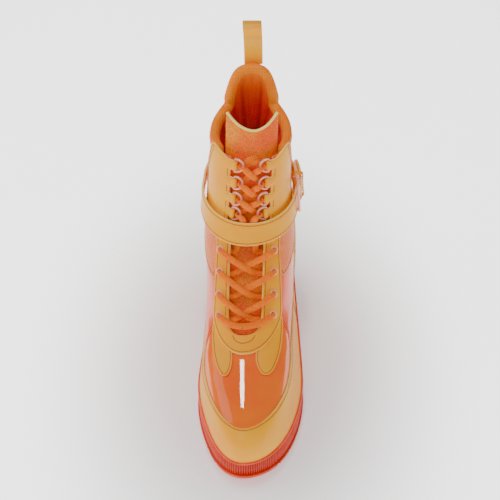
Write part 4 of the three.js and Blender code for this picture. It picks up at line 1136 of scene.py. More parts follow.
class BOOT_OT_upper(bpy.types.Operator):
    """Patent vamp, coral quarters and the golden overlays, each with its stitching"""

    bl_idname = "boot.upper"
    bl_label = "Upper"

    def cut(self, name, runs, layer, finishes, node_name, slot, rows=(), spans=None, holes=(), soft=0.45,
            relief=None, back=None, spacing=None):
        """One panel from its outline's runs, with rows of stitches along the chosen runs."""
        sizes = bpy.context.scene.boot_sizes
        loop, starts = loop_of(runs)
        solid = Solid()
        panel(solid, [loop, *holes], edge_rings(*layer, soft), back, spacing or sizes.spacing, relief)
        give(solid.make(name, *finishes), "boot", slot, node_name)
        if rows:
            seam = Solid()
            chosen = [(starts[first], starts[last]) for first, last in spans]
            rows_inside(seam, loop, rows, layer[1], sizes.stitch_pitch, sizes.thread_radius, chosen)
            sewn(seam, name + "_stitching")
        return loop

    SIDE_SEAM = [[0.0, 0.47], [2.5, 0.45], [4.4, 0.4], [6.2, 0.26], [6.9, 0.15]]

    def vamp(self, holes):
        """Patent vamp with two soft creases where the foot bends."""
        lines = [(4.4, -0.36, 4.1, -0.22, 3.5, -0.3), (4.3, 0.22, 4.0, 0.34, 3.5, -0.3)]
        flex = lambda level, around: creases(level, around, lines)
        throat = [[6.9, 0.12], [6.75, 0.12], [6.47, 0.084], [6.35, 0.0], [6.47, -0.084], [6.75, -0.12],
                  [6.9, -0.12]]
        self.cut("vamp_patent", [
            self.SIDE_SEAM, [[6.9, 0.15], [6.9, 0.12]], throat, [[6.9, -0.12], [6.9, -0.15]],
            mirrored(self.SIDE_SEAM)[::-1], [[0.0, -0.47], [0.0, 0.0], [0.0, 0.47]]],
            BASE, ["patent", "patent"], "vamp", "patent",
            holes=[hole for hole in holes if hole[:, 0].max() < 6.95], relief=flex, back=BASE[0])

    def quarter(self, name, sign):
        """Coral panel from the vamp's side seam to the heel."""
        holes = [eyelet_hole(level, EYELET_AROUND[name]) for level in EYELET_LEVELS[1:]]
        seam = [[level, around + 0.006] for level, around in self.SIDE_SEAM]
        runs = [seam, [[6.9, 0.156], [6.96, 0.12]], [[6.96, 0.12], [9.2, 0.12]],
                [[9.2, 0.12], [9.2, 0.5], [9.2, 0.995]], [[9.2, 0.995], [0.0, 0.995]],
                [[0.0, 0.995], [0.0, 0.7], [0.0, 0.476]]]
        self.cut(f"quarter_{name}_patent", on_side(runs, sign), BASE, ["coral", "coral"], f"quarter_{name}",
                 "coral_patent", rows=(1.6,), spans=[(0, 1)], holes=holes, back=BASE[0])

    def shaft(self, name, sign):
        """Coral panel of the shaft, up to the collar and the heel tab."""
        rim = [[11.97, 0.16], [11.97, 0.5], [11.97, 0.84], *TAB[:-1], [12.97, 0.995]]
        runs = [[[9.23, 0.16], [11.97, 0.16]], rim, [[12.97, 0.995], [9.23, 0.995]],
                [[9.23, 0.995], [9.23, 0.5], [9.23, 0.16]]]
        self.cut(f"shaft_{name}_patent", on_side(runs, sign), BASE, ["coral", "coral"], f"shaft_panel_{name}",
                 "coral_patent", rows=(2.2,), spans=[(1, 2)], back=BASE[0])

    def ankle(self, name, sign):
        """Pebbled panel over the ankle, with piping round its curved edge."""
        runs = [[[9.2, 0.22], [8.3, 0.235], [7.9, 0.245]],
                [[7.9, 0.245], [7.66, 0.27], [7.6, 0.31], [7.63, 0.37], [7.78, 0.44], [8.12, 0.52],
                 [8.62, 0.578], [9.2, 0.6]], [[9.2, 0.6], [9.2, 0.4], [9.2, 0.22]]]
        loop = self.cut(f"ankle_{name}_pebbled", on_side(runs, sign), OVER, ["pebbled", "piping"],
                        f"ankle_panel_{name}", "pebbled_leather", rows=(2.6,), spans=[(1, 2)], soft=0.7)
        edge = loop[loop[:, 0] < 9.15]
        cord = Solid()
        sweep(on_boot(edge, 0.45), oval(1.1, 1.1, 8), cord, up=last_normal(edge))
        give(cord.make(f"ankle_{name}_piping", "piping"), "boot", "pebbled_leather")

    def wing(self, name, sign):
        """Tongue-shaped overlay that runs from the lace stay onto the toe."""
        runs = [[[6.55, 0.245], [6.2, 0.13], [5.9, 0.085]],
                [[5.9, 0.085], [5.45, 0.083], [4.98, 0.115], [4.72, 0.165], [4.68, 0.215], [4.92, 0.265],
                 [5.35, 0.29], [6.0, 0.285], [6.55, 0.245]]]
        self.cut(f"wing_{name}_leather", on_side(runs, sign), OVER, ["gold", "piping"], f"wing_{name}",
                 "gold_leather", rows=(1.9,), spans=[(1, 2)])

    def guards(self):
        """Mudguard round the toe, heel overlay and backstay."""
        guard = [[2.35, 0.61], [2.6, 0.5], [2.75, 0.42], [2.9, 0.34], [3.05, 0.24], [3.1, 0.12], [3.05, 0.0]]
        guard = there_and_back(guard)
        self.cut("mudguard_leather", [
            guard, [[2.35, -0.61], [0.0, -0.61]],
            [[0.0, -0.61], [0.0, -0.3], [0.0, 0.0], [0.0, 0.3], [0.0, 0.61]],
            [[0.0, 0.61], [2.35, 0.61]]], OVER, ["gold", "edge"], "mudguard", "gold_leather",
            rows=(2.0,), spans=[(0, 1)])
        front = [[0.0, 0.616], [2.3, 0.616], [3.6, 0.655], [5.2, 0.68], [7, 0.69], [8.3, 0.72], [8.65, 0.76]]
        back = [[level, 2 - around] for level, around in front]
        self.cut("heel_leather", [
            front, [[8.65, 0.76], [8.72, 1.0], [8.65, 1.24]], back[::-1],
            [[0.0, 1.384], [0.0, 1.2], [0.0, 1.0], [0.0, 0.8], [0.0, 0.616]]], OVER, ["gold", "edge"],
            "heel_overlay", "gold_leather", rows=(2.0, 4.6), spans=[(0, 3)])
        self.cut("backstay_leather", [
            [[8.75, 0.95], [12.52, 0.953]], [[12.52, 0.953], [12.52, 1.047]], [[12.52, 1.047], [8.75, 1.05]],
            [[8.75, 1.05], [8.75, 0.95]]], OVER, ["gold", "edge"], "backstay", "gold_leather",
            rows=(1.8,), spans=[(0, 4)])

    def lace_stay(self, holes):
        """Horseshoe overlay that carries the eyelets, with a bar tack under its throat."""
        outer = [[9.2, 0.235], [8.0, 0.245], [6.9, 0.258], [6.5, 0.262], [6.18, 0.25], [5.95, 0.21],
                 [5.83, 0.15], [5.78, 0.08], [5.77, 0.0]]
        outer = there_and_back(outer)
        bend = there_and_back([[6.9, -0.118], [6.62, -0.11], [6.44, -0.07], [6.4, 0.0]])
        self.cut("lace_stay_leather", [
            outer, [[9.2, -0.235], [9.2, -0.118]], [[9.2, -0.118], bend[0]], bend, [bend[-1], [9.2, 0.118]],
            [[9.2, 0.118], [9.2, 0.235]]], OUTER, ["gold", "edge"], "lace_stay", "gold_leather", rows=(1.9,),
            holes=holes, spans=[(0, 1), (2, 3), (4, 5)], soft=0.6, spacing=2.2)
        bar = Solid()
        arc = curve_through([[6.33, -0.075], [6.2, -0.055], [6.13, 0.0], [6.2, 0.055], [6.33, 0.075]], 1.0)
        stitch_line(bar, arc, OUTER[1], 2.0, 0.4)
        sewn(bar, "throat_bar_tack")

    def execute(self, context):
        holes = [eyelet_hole(level, around) for level in EYELET_LEVELS for around in EYELET_AROUND.values()]
        self.vamp(holes)
        for name, sign in SIDES.items():
            self.quarter(name, sign)
            self.shaft(name, sign)
            self.ankle(name, sign)
            self.wing(name, sign)
        self.guards()
        self.lace_stay(holes)
        return {"FINISHED"}


EYELET_LEVELS = [6.72, 7.4, 8.08, 8.74]
EYELET_AROUND = {"lateral": 0.19, "medial": -0.2}
EYELET_HOLE = 2.4
RING_LEVELS = [10.17, 10.7, 11.23, 11.76]
RING_AROUND = 0.128        # of each ring's straight side, in its leather roll
RING_LIFT = 0.75
FACING_EDGE = 0.165


def eyelet_hole(level, around):
    """A round hole's outline in chart points."""
    centre = np.array([[level, around]])
    e = 0.004
    rise = (on_last(centre + [e, 0]) - on_last(centre - [e, 0]))[0] / (2 * e)
    turn = (on_last(centre + [0, e]) - on_last(centre - [0, e]))[0] / (2 * e)
    angle = circle(20)
    return centre + EYELET_HOLE * np.stack([np.sin(angle) / np.linalg.norm(rise),
                                            np.cos(angle) / np.linalg.norm(turn)], 1)


class BOOT_OT_facings(bpy.types.Operator):
    """Upper facings with the rolled keepers that hold the lace rings, and the rings themselves"""

    bl_idname = "boot.facings"
    bl_label = "Facings and lace rings"

    ROLL = [(-4.4, 1.5), (-4.4, 2.2), (-4.048, 2.55), (-3.52, 2.65), (3.52, 2.65), (4.048, 2.55), (4.4, 2.2),
            (4.4, 1.5)]
    EYELET = [(-2.2, 2.2), (0.1, 2.15), (0.7, 2.4), (1.0, 2.9), (0.8, 3.5), (0.4, 3.95), (0.1, 4.05)]
    RING_HALF = 6.0
    RING_BOW = 8.3
    RING_WIRE = 2.3

    def facing(self, sizes, name, sign):
        """Golden facing with four leather rolls on its edge."""
        top = [[COLLAR - 0.12, FACING_EDGE], [COLLAR + 0.05, 0.24], [COLLAR + 0.16, 0.31]]
        back = [[COLLAR + 0.16, 0.31], [COLLAR + 0.1, 0.36], [11.6, 0.41], [11.2, 0.445], [10.4, 0.46],
                [9.24, 0.46]]
        runs = [[[9.24, FACING_EDGE], [COLLAR - 0.12, FACING_EDGE]], top, back,
                [[9.24, 0.46], [9.24, 0.3], [9.24, FACING_EDGE]]]
        loop, starts = loop_of(on_side(runs, sign))
        solid = Solid()
        panel(solid, [loop], edge_rings(*OVER), -0.1, sizes.spacing)
        for level in RING_LEVELS:
            near, far = RING_AROUND + 0.006, FACING_EDGE + 0.03
            corners = [[level - 0.15, near], [level + 0.15, near], [level + 0.15, far], [level - 0.15, far]]
            flap, _ = loop_of(on_side([[corners[k], corners[(k + 1) % 4]] for k in range(4)], sign))
            panel(solid, [flap], edge_rings(0.1, 1.9, 0.4), 0.1, 3.0)
            origin, e1, e2, e3 = frame_on(level, sign * RING_AROUND, RING_LIFT)
            turned(solid, origin, e1, e2, e3, self.ROLL)
        give(solid.make(f"facing_{name}_leather", "gold", "edge"), "boot", "gold_leather", f"facing_{name}")
        seam = Solid()
        for rows, run in (((2.2,), 0), ((2.2, 5.0), 2)):
            rows_inside(seam, loop, rows, OVER[1], sizes.stitch_pitch, sizes.thread_radius,
                        [(starts[run], starts[run + 1])])
        sewn(seam, f"facing_{name}_stitching")

    def rings(self, name, sign):
        """Four D-shaped rings of enamelled wire."""
        half, bow = self.RING_HALF, self.RING_BOW
        right = [[half - 1.1, 0], [half - 0.3, 0.3], [half, 1.1], [half - 0.3, 3.8], [half - 1.4, 6],
                 [half * 0.45, bow - 0.7]]
        left = [[-u, v] for u, v in right[::-1]]
        outline = [left[-1], [0, 0], *right, [0, bow], *left[:-1]]
        for i, level in enumerate(RING_LEVELS):
            origin, e1, e2, e3 = frame_on(level, sign * RING_AROUND, RING_LIFT)
            points = [origin + e1 * u + e2 * sign * v - e3 * 0.1 * v for u, v in outline]
            wire = Solid()
            section = oval(self.RING_WIRE, self.RING_WIRE, 12)
            sweep(smooth_path(points, 0.7, True), section, wire, up=e3, closed=True)
            body = f"ring_{name}_{i + 1}"
            give(wire.make(body + "_wire", "enamel"), body, "painted_wire", "lace_" + body)

    def eyelets(self, name):
        """Rolled rims of the four eyelets, set through the lace stay."""
        for i, level in enumerate(EYELET_LEVELS):
            origin, e1, e2, e3 = frame_on(level, EYELET_AROUND[name], OUTER[1])
            rim = Solid()
            turned(rim, origin, e3, e1, e2, self.EYELET, 24)
            piece = rim.make(f"eyelet_{name}_{i + 1}_rim", "enamel")
            give(piece, "boot", "painted_wire", f"eyelet_{name}_{i + 1}")

    def execute(self, context):
        for name, sign in SIDES.items():
            self.facing(context.scene.boot_sizes, name, sign)
            self.rings(name, sign)
            self.eyelets(name)
        return {"FINISHED"}


EYELET_PASS = (4.0, 3.6)  # lace's width and thickness where an eyelet draws it in
RING_PASS = (2.5, 2.1)    # and where it runs through a lace ring, with room for the ring to swivel
RING_THROUGH = 0.092      # where round the boot the lace goes through a ring


class BOOT_OT_laces(bpy.types.Operator):
    """Both ends of the lace, crossed through the eyelets and rings and knotted at the top"""

    bl_idname = "boot.laces"
    bl_label = "Laces"

    # level above the eyelet, share of the eyelet's distance from the instep line, height
    THROUGH_EYELET = [(-0.02, 0.8, 6.5), (0, 0.97, 5.9), (0, 1, 4.2), (0, 1, 2), (0, 1, -2.3),
                      (0.02, 0.92, -3.9), (0.06, 0.7, -4.1), (0.16, 0.38, -2.8)]

    def squeezed(self, path, places, size, near, fade):
        """Width and thickness of the lace along its path, drawn in to a size near the given places."""
        sizes = bpy.context.scene.boot_sizes
        gap = np.min(np.linalg.norm(path[:, None, :] - np.concatenate(places)[None], axis=2), axis=1)
        free = ease((gap - near) / fade)[:, None]
        return np.array(size) * (1 - free) + np.array([sizes.lace_width, sizes.lace_thickness]) * free

    def end(self, first):
        """Chart points with heights, along one end of the lace."""
        points = []
        put = lambda level, around, h: points.append((level, around, h))
        side = first
        for i, level in enumerate(EYELET_LEVELS):
            a = EYELET_AROUND["lateral" if side > 0 else "medial"]
            if i > 0:
                put(level - 0.1, 0.55 * a, 5)
            for rise, share, h in self.THROUGH_EYELET:
                put(level + rise, share * a, h)
            side = -side
            last = i + 1 == len(EYELET_LEVELS)
            if last:
                put(level + 0.42, 0.06 * -side, 0.6 if side < 0 else -2.4)
            put(level + (0.7 if last else 0.36), 0, 2.1 if side < 0 else -1.9)
        for i, level in enumerate(RING_LEVELS):
            through, bow = RING_THROUGH * side, 0.055 * side
            if i == 0:
                put(9.88, 0.5 * bow, 1.9)
            put(level - 0.05, bow * 0.9, 4.3)
            put(level - 0.01, through * 0.93, 3.6)
            put(level + 0.01, through, 1.4)
            put(level + 0.03, through * 0.93, -1.2)
            put(level + 0.1, bow * 0.9, -2.5)
            side = -side
            if i + 1 < len(RING_LEVELS):
                put(level + 0.28, 0, 2.4 if side < 0 else -2.2)
        out = -side
        knot = [[11.97, 0.02, -2.4], [11.98, -0.02, -4.6], [11.86, -0.045, -5]] if first > 0 else [
            [11.86, 0, -2.4], [11.83, -0.025, -4.4], [11.79, -0.045, -5]]
        for level, around, h in knot:
            put(level, around * out, h)
        tail = [[11.72, 0.07, -5], [11.6, 0.12, -4.9], [11.4, 0.18, -4.6], [11.2, 0.23, -4.6]]
        for level, around, h in tail:
            put(level, -around * out, h)
        return points

    def execute(self, context):
        sizes = context.scene.boot_sizes
        start = [(EYELET_LEVELS[0] - 0.03, 0.0, 6.3)]
        for name, first in SIDES.items():
            rows = np.array(start + [(EYELET_LEVELS[0] - 0.02, 0.08 * first, 6.3)] + self.end(first)[1:])
            place = on_boot(rows[:, :2], rows[:, 2])
            path = smooth_path(place, 0.8)
            full = np.array([sizes.lace_width, sizes.lace_thickness])
            holes = [on_boot([[level, a]], 1.5) for level in EYELET_LEVELS for a in EYELET_AROUND.values()]
            rings = [on_boot([[level, side * RING_THROUGH]], 0.8) for level in RING_LEVELS
                     for side in SIDES.values()]
            scales = np.minimum(self.squeezed(path, holes, EYELET_PASS, 2.5, 5.0) / full,
                                self.squeezed(path, rings, RING_PASS, 3.4, 4.5) / full)
            run = distance_along(place)
            chart = at_distances(np.linspace(0, run[-1], len(path)), run, rows[:, :2])
            lace = Solid()
            sweep(path, oval(*full, 18, 2.2), lace, up=last_normal(chart), scales=scales)
            piece = lace.make(f"lace_{name}_braid", "lace", uv=True)
            give(piece, "boot", "lace_cord", f"lace_{name}_end")
        return {"FINISHED"}


class BOOT_OT_inside(bpy.types.Operator):
    """Tongue, padded collar and lining"""

    bl_idname = "boot.inside"
    bl_label = "Tongue, collar and lining"

    TONGUE_MIDDLE = -7.7
    # level, around, level, around, half width in mm, depth in mm
    GATHERS = [(12.6, 1.06, 9.6, 1.025, 2.6, 3.4), (12.6, 0.94, 9.6, 0.98, 2.6, 3.4),
               (12.5, 1.025, 10.6, 1.012, 1.8, 1.6), (12.5, 0.975, 10.4, 0.99, 1.8, 1.6),
               (12.1, 0.88, 10.4, 0.945, 2.6, 2.6), (12.1, 1.12, 10.5, 1.06, 2.6, 2.6),
               (11.7, 0.78, 10.6, 0.86, 3.0, 1.8), (11.7, 1.22, 10.6, 1.14, 3.0, 1.8),
               (12.95, 1.0, 9.0, 1.0, 0.9, 1.4)]

    def tongue(self, sizes):
        """Pebbled tongue with soft creases towards its top, and a pale binding along its scooped edge."""
        lines = [(11.2, -0.08, 11.6, 0.1, 4, -0.6), (10.4, -0.1, 10.7, 0.12, 4, -0.5),
                 (9.4, -0.1, 9.3, 0.12, 4, 0.5)]
        folds = lambda level, around: creases(level, around, lines)
        top = there_and_back([[13.3, 0.235], [13.12, 0.18], [12.93, 0.1], [12.83, 0.0]])
        loop, _ = loop_of([
            [[6.1, 0.2], [7.0, 0.27], [11.0, 0.265], [12.7, 0.25], [13.3, 0.235]], top,
            [[13.3, -0.235], [12.7, -0.25], [11.0, -0.265], [7.0, -0.27], [6.1, -0.2]],
            [[6.1, -0.2], [6.1, 0.2]]])
        solid = Solid()
        panel(solid, [loop], edge_rings(*TONGUE, 0.8), TONGUE[0], sizes.spacing, folds)
        piece = solid.make("tongue_pebbled", "tongue", "edge")
        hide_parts("tongue", "tongue_flap")
        low, high = [on_boot([[level, 0.0]], self.TONGUE_MIDDLE)[0] * MM for level in (11.55, 12.25)]
        low[0] = 0
        high[0] = 0
        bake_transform(piece)
        edge = curve_through(top, 0.9)
        binding = Solid()
        sweep(on_boot(edge, self.TONGUE_MIDDLE), oval(3.0, 2.6, 12, 2.4), binding, up=last_normal(edge))
        trim = binding.make("tongue_binding", "edge")
        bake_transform(trim)

    def collar(self):
        """Padded lining of the shaft: a foam roll at the rim, and gathered folds in the heel corner."""
        rim = [[11.97, 0.31], [11.97, 0.5], [11.97, 0.84], *TAB]
        rim += [[level, 2 - around] for level, around in rim[:-1][::-1]]
        loop, _ = loop_of([rim, [[11.97, 1.69], [6.0, 1.69]],
                           [[6.0, 1.69], [6.0, 1.5], [6.0, 1.0], [6.0, 0.5], [6.0, 0.31]],
                           [[6.0, 0.31], [11.97, 0.31]]], 2.0)
        pad = lambda level, around: creases(level, around, self.GATHERS) - 3.4 * ease((level - 10.1) / 0.7)
        # painted shadow: the middle of each fold gets an amount of shade, which the lining's finish paints
        # dark red
        narrow = [(*line, width * 0.55, depth / 3.4) for *line, width, depth in self.GATHERS]
        shadow = lambda level, around: np.clip(creases(level, around, narrow), 0, 1)
        rings = [(0.6, -0.9), (-0.9, -0.5), (-2.3, -1.2), (-3.2, -3.0), (-3.3, -5.2), (-2.4, -7.6),
                 (0.2, -9.2), (3.4, -9.9), (7.0, -6.4)]
        solid = Solid()
        panel(solid, [loop], rings, None, 1.7, pad, inner_face=True, shade_of=shadow)
        piece = solid.make("collar_padding", "lining", "rim", uv=True)
        give(piece, "boot", "lining", "collar_foam", "collar_lining")

    def foot(self):
        """Lining of the foot, below the shaft's."""
        high = [[6.02, around] for around in (-0.995, -0.5, 0.0, 0.5, 0.995)]
        low = [[1.0, around] for _, around in high[::-1]]
        loop, _ = loop_of([high, [high[-1], low[0]], low, [low[-1], high[0]]], 2.5)
        lining = Solid()
        panel(lining, [loop], edge_rings(-4.2, -5.6, -0.1), None, 4.0, inner_face=True)
        give(lining.make("foot_lining", "lining", "lining"), "boot", "lining", "lining")

    def execute(self, context):
        self.tongue(context.scene.boot_sizes)
        self.collar()
        self.foot()
        return {"FINISHED"}


STRAP_LEVELS = (9.13, 9.95)
STRAP_CENTRE = 9.54
STRAP_THICKNESS = 2.0
CHAPE_THICKNESS = 1.3
BUCKLE_WIRE = 1.3          # radius of the frame's wire
PRONG_WIRE = 0.8
STRAP_LIFT = 5.2           # height of the strap's middle over the instep
BACK_LIFT = 3.2            # and behind the heel
HEEL_AROUND = 0.615        # of the bar that the buckle turns on
HEEL_LIFT = 5.4
TAIL_LIFT = HEEL_LIFT + BUCKLE_WIRE + 0.3 + CHAPE_THICKNESS + 0.3 + STRAP_THICKNESS / 2


class BOOT_OT_strap(bpy.types.Operator):
    """Ankle strap with its buckle, prong and keeper"""

    bl_idname = "boot.strap"
    bl_label = "Ankle strap"

    STATION = 1.6          # millimetres between the strap's cross-sections
    END_REACH = 11.0       # length of the tip's rounding
    EYE = BUCKLE_WIRE + 0.25 + PRONG_WIRE
    # points of a cross-section: share of the width, share of half the thickness
    SECTION = [(0.0, -1), (0.0, 0), (0.0, 0.55), (0.018, 0.92), (0.04, 1), (0.25, 1), (0.5, 1), (0.75, 1),
               (0.96, 1), (0.982, 0.92), (1.0, 0.55), (1.0, 0), (1.0, -1), (0.5, -1)]
    EDGE_SIDES = (0, 1, 2, 9, 10, 11)

    def band(self, solid, stations, thickness, levels, round_end=False):
        """A strap through (around, lift) stations: rounded edges, flat faces. Returns finer stations."""
        stations = np.asarray(stations, float)
        chart = np.stack([np.full(len(stations), STRAP_CENTRE), stations[:, 0]], 1)
        run = distance_along(on_boot(chart, stations[:, 1]))
        count = max(int(run[-1] / self.STATION), 8)
        s = np.linspace(0, run[-1], count + 1)
        around = np.interp(s, run, stations[:, 0])
        lift = row_at(stations[:, 1:], np.interp(s, run, np.arange(len(stations))))[:, 0]
        rows = []
        for k in range(count + 1):
            left = (s[-1] - s[k]) / self.END_REACH
            narrow = 0.0
            if round_end and left < 1:
                narrow = 0.5 * (1 - math.sqrt(max(1 - max(1 - left, 0) ** 2, 0.02)))
            for share, rise in self.SECTION:
                share = narrow + share * (1 - 2 * narrow)
                level = levels[0] + (levels[1] - levels[0]) * share
                rows.append((level, around[k], lift[k] + rise * thickness / 2))
        rows = np.array(rows)
        n = len(self.SECTION)
        start = solid.add(on_boot(rows[:, :2], rows[:, 2]), [])
        for k in range(count):
            solid.faces += [face[::-1] for face in ring_faces(start + k * n, start + (k + 1) * n, n)]
            solid.slots += [1 if side in self.EDGE_SIDES else 0 for side in range(n)]
        solid.faces.append(tuple(start + j for j in range(n)))
        solid.faces.append(tuple(start + count * n + j for j in range(n - 1, -1, -1)))
        solid.slots += [1, 1]
        return np.stack([around, lift], 1)

    def edge_stitches(self, stations, levels, thickness):
        """Two rows of stitches, a tenth of the width in from the strap's edges."""
        sizes = bpy.context.scene.boot_sizes
        seam = Solid()
        for share in (0.1, 0.9):
            level = levels[0] + (levels[1] - levels[0]) * share
            chart = np.stack([np.full(len(stations), level), stations[:, 0]], 1)
            stitch_line(seam, chart, stations[:, 1] + thickness / 2, sizes.stitch_pitch, sizes.thread_radius)
        return seam

    def wrap(self):
        """Strap round the back and the instep, and on through the buckle."""
        wrap = []
        for around in np.linspace(-1, 0.39, 41):
            share = np.clip((abs(around) - 0.5) / 0.4, 0, 1)
            wrap.append([around, STRAP_LIFT + (BACK_LIFT - STRAP_LIFT) * share])
        run = wrap + [[0.43, STRAP_LIFT], [0.47, STRAP_LIFT + 0.3], [0.52, STRAP_LIFT + 1.6],
                      [0.57, TAIL_LIFT - 0.9], [0.6, TAIL_LIFT - 0.05]]
        solid = Solid()
        line = self.band(solid, run, STRAP_THICKNESS, STRAP_LEVELS)
        give(solid.make("strap_leather", "gold", "edge"), "boot", "gold_leather", "ankle_strap", "strap_end")
        seam = self.edge_stitches(line, STRAP_LEVELS, STRAP_THICKNESS)
        give(seam.make("strap_stitching", "thread", "hole"), "boot", "gold_leather")

    def tail(self):
        """Free tip of the strap, round-ended, beyond the keeper."""
        tail = [[0.6, TAIL_LIFT - 0.05]]
        tail += [[around, TAIL_LIFT] for around in (0.63, 0.69, 0.745, 0.77, 0.79, 0.81)]
        solid = Solid()
        line = self.band(solid, tail, STRAP_THICKNESS, STRAP_LEVELS, round_end=True)
        piece = solid.make("strap_tail_leather", "gold", "edge")
        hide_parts("strap_tip")
        ends = [tuple(on_boot([[STRAP_CENTRE, a]], TAIL_LIFT)[0] * MM) for a in (0.735, 0.762)]
        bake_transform(piece)
        seam = self.edge_stitches(line[:-6], STRAP_LEVELS, STRAP_THICKNESS)
        thread = seam.make("strap_tail_stitching", "thread", "hole")
        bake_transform(thread)

    def chape(self):
        """Doubled leather that loops round the buckle's bar on either side of the prong."""
        run = [[around, HEEL_LIFT] for around in (0.64, 0.7, 0.745)] + [[0.8, BACK_LIFT + 0.9]]
        run += [[around, BACK_LIFT] for around in (0.86, 0.91, 0.95, 0.994)]
        solid = Solid()
        self.band(solid, run, 2 * CHAPE_THICKNESS, (STRAP_LEVELS[0] + 0.01, STRAP_LEVELS[1] - 0.01))
        origin, e1, e2, e3 = frame_on(STRAP_CENTRE, HEEL_AROUND, HEEL_LIFT)
        for low, high in ((-11.2, -2.3), (2.3, 11.2)):
            profile = [(low, 1.65), (low, 2.7), (low + 0.3, 2.9),
                       (high - 0.3, 2.9), (high, 2.7), (high, 1.65)]
            turned(solid, origin, e1, e2, e3, profile)
        give(solid.make("strap_chape_leather", "gold", "edge"), "boot", "gold_leather", "strap_chape")

    def patch(self):
        """Patch over the strap's ends, sewn to the backstay."""
        levels = (STRAP_LEVELS[0] - 0.05, STRAP_LEVELS[1] + 0.05)
        run = [[around, 5.7] for around in (0.945, 0.97, 1.0, 1.03, 1.055)]
        solid = Solid()
        line = self.band(solid, run, LEATHER, levels)
        give(solid.make("strap_patch_leather", "gold", "edge"), "boot", "gold_leather", "strap_patch")
        seam = self.edge_stitches(line, levels, LEATHER)
        give(seam.make("strap_patch_stitching", "thread", "hole"), "boot", "gold_leather")

    def buckle(self):
        """Frame of enamelled wire, and the prong that turns on its heel bar."""
        front = on_boot([[STRAP_CENTRE, 0.445]], 8.2)[0]
        heel = on_boot([[STRAP_CENTRE, HEEL_AROUND]], HEEL_LIFT)[0]
        e1 = -frame_on(STRAP_CENTRE, HEEL_AROUND, 0)[1]
        e2 = unit(heel - front)
        e2 = unit(e2 - e1 * (e2 @ e1))
        e3 = np.cross(e1, e2)
        at = lambda u, v, w=0.0: heel + e1 * u + e2 * v + e3 * w
        half, d = 15.5, -np.linalg.norm(heel - front)
        right = [[half - 2.5, 0], [half - 0.7, -0.7], [half, -2.5], [half, d / 2], [half, d + 2.5],
                 [half - 0.7, d + 0.7], [half - 2.5, d]]
        left = [[-u, v] for u, v in right[::-1]]
        outline = [left[-1], [0, 0], *right, [0, d], *left[:-1]]
        wire = Solid()
        section = oval(2 * BUCKLE_WIRE, 2 * BUCKLE_WIRE, 14, 2.4)
        sweep(smooth_path([at(u, v) for u, v in outline], 0.8, True), section, wire, up=e3, closed=True)
        give(wire.make("buckle_wire", "enamel"), "buckle", "painted_wire", "buckle_frame")
        turns = np.linspace(-0.95, 0.5, 12) * math.pi
        points = [at(0, self.EYE * math.cos(turn), self.EYE * math.sin(turn)) for turn in turns]
        points += [at(0, v, self.EYE) for v in (d * 0.3, d * 0.7, d - 1.5)]
        path = smooth_path(points, 0.6)
        scales = np.ones((len(path), 2))
        scales[-6:] *= np.linspace(1, 0.45, 6)[:, None]
        prong = Solid()
        sweep(path, oval(1.7, 2 * PRONG_WIRE, 10), prong, up=e1, scales=scales)
        give(prong.make("prong_wire", "enamel"), "prong", "painted_wire", "buckle_prong")

    def keeper(self):
        """Leather loop round the chape and the tip, slightly bowed at its corners."""
        origin, e1, e2, e3 = frame_on(STRAP_CENTRE, 0.709, 0)
        low, high, wide = HEEL_LIFT - CHAPE_THICKNESS - 1.2, TAIL_LIFT + 1.5, 12.8
        middle, tall = (low + high) / 2, (high - low) / 2
        over = [(-wide - 0.6, 0), (-wide - 0.6, tall * 0.6), (-wide, tall + 0.6), (-wide * 0.5, tall + 0.6),
                (0, tall + 0.6), (wide * 0.5, tall + 0.6), (wide, tall + 0.6), (wide + 0.6, tall * 0.6)]
        under = [(wide + 0.6, 0), (wide + 0.6, -tall * 0.6), (wide, -tall - 0.6), (0, -tall - 0.6),
                 (-wide, -tall - 0.6), (-wide - 0.6, -tall * 0.6)]
        path = [origin + e1 * u + e3 * (middle + w) for u, w in over + under]
        loop = Solid()
        sweep(smooth_path(path, 1.0, True), oval(1.3, 4.8, 16, 4.0), loop, up=e2, closed=True)
        give(loop.make("keeper_leather", "gold"), "keeper", "gold_leather", "strap_keeper")

    def execute(self, context):
        self.wrap()
        self.tail()
        self.chape()
        self.patch()
        self.buckle()
        self.keeper()
        return {"FINISHED"}


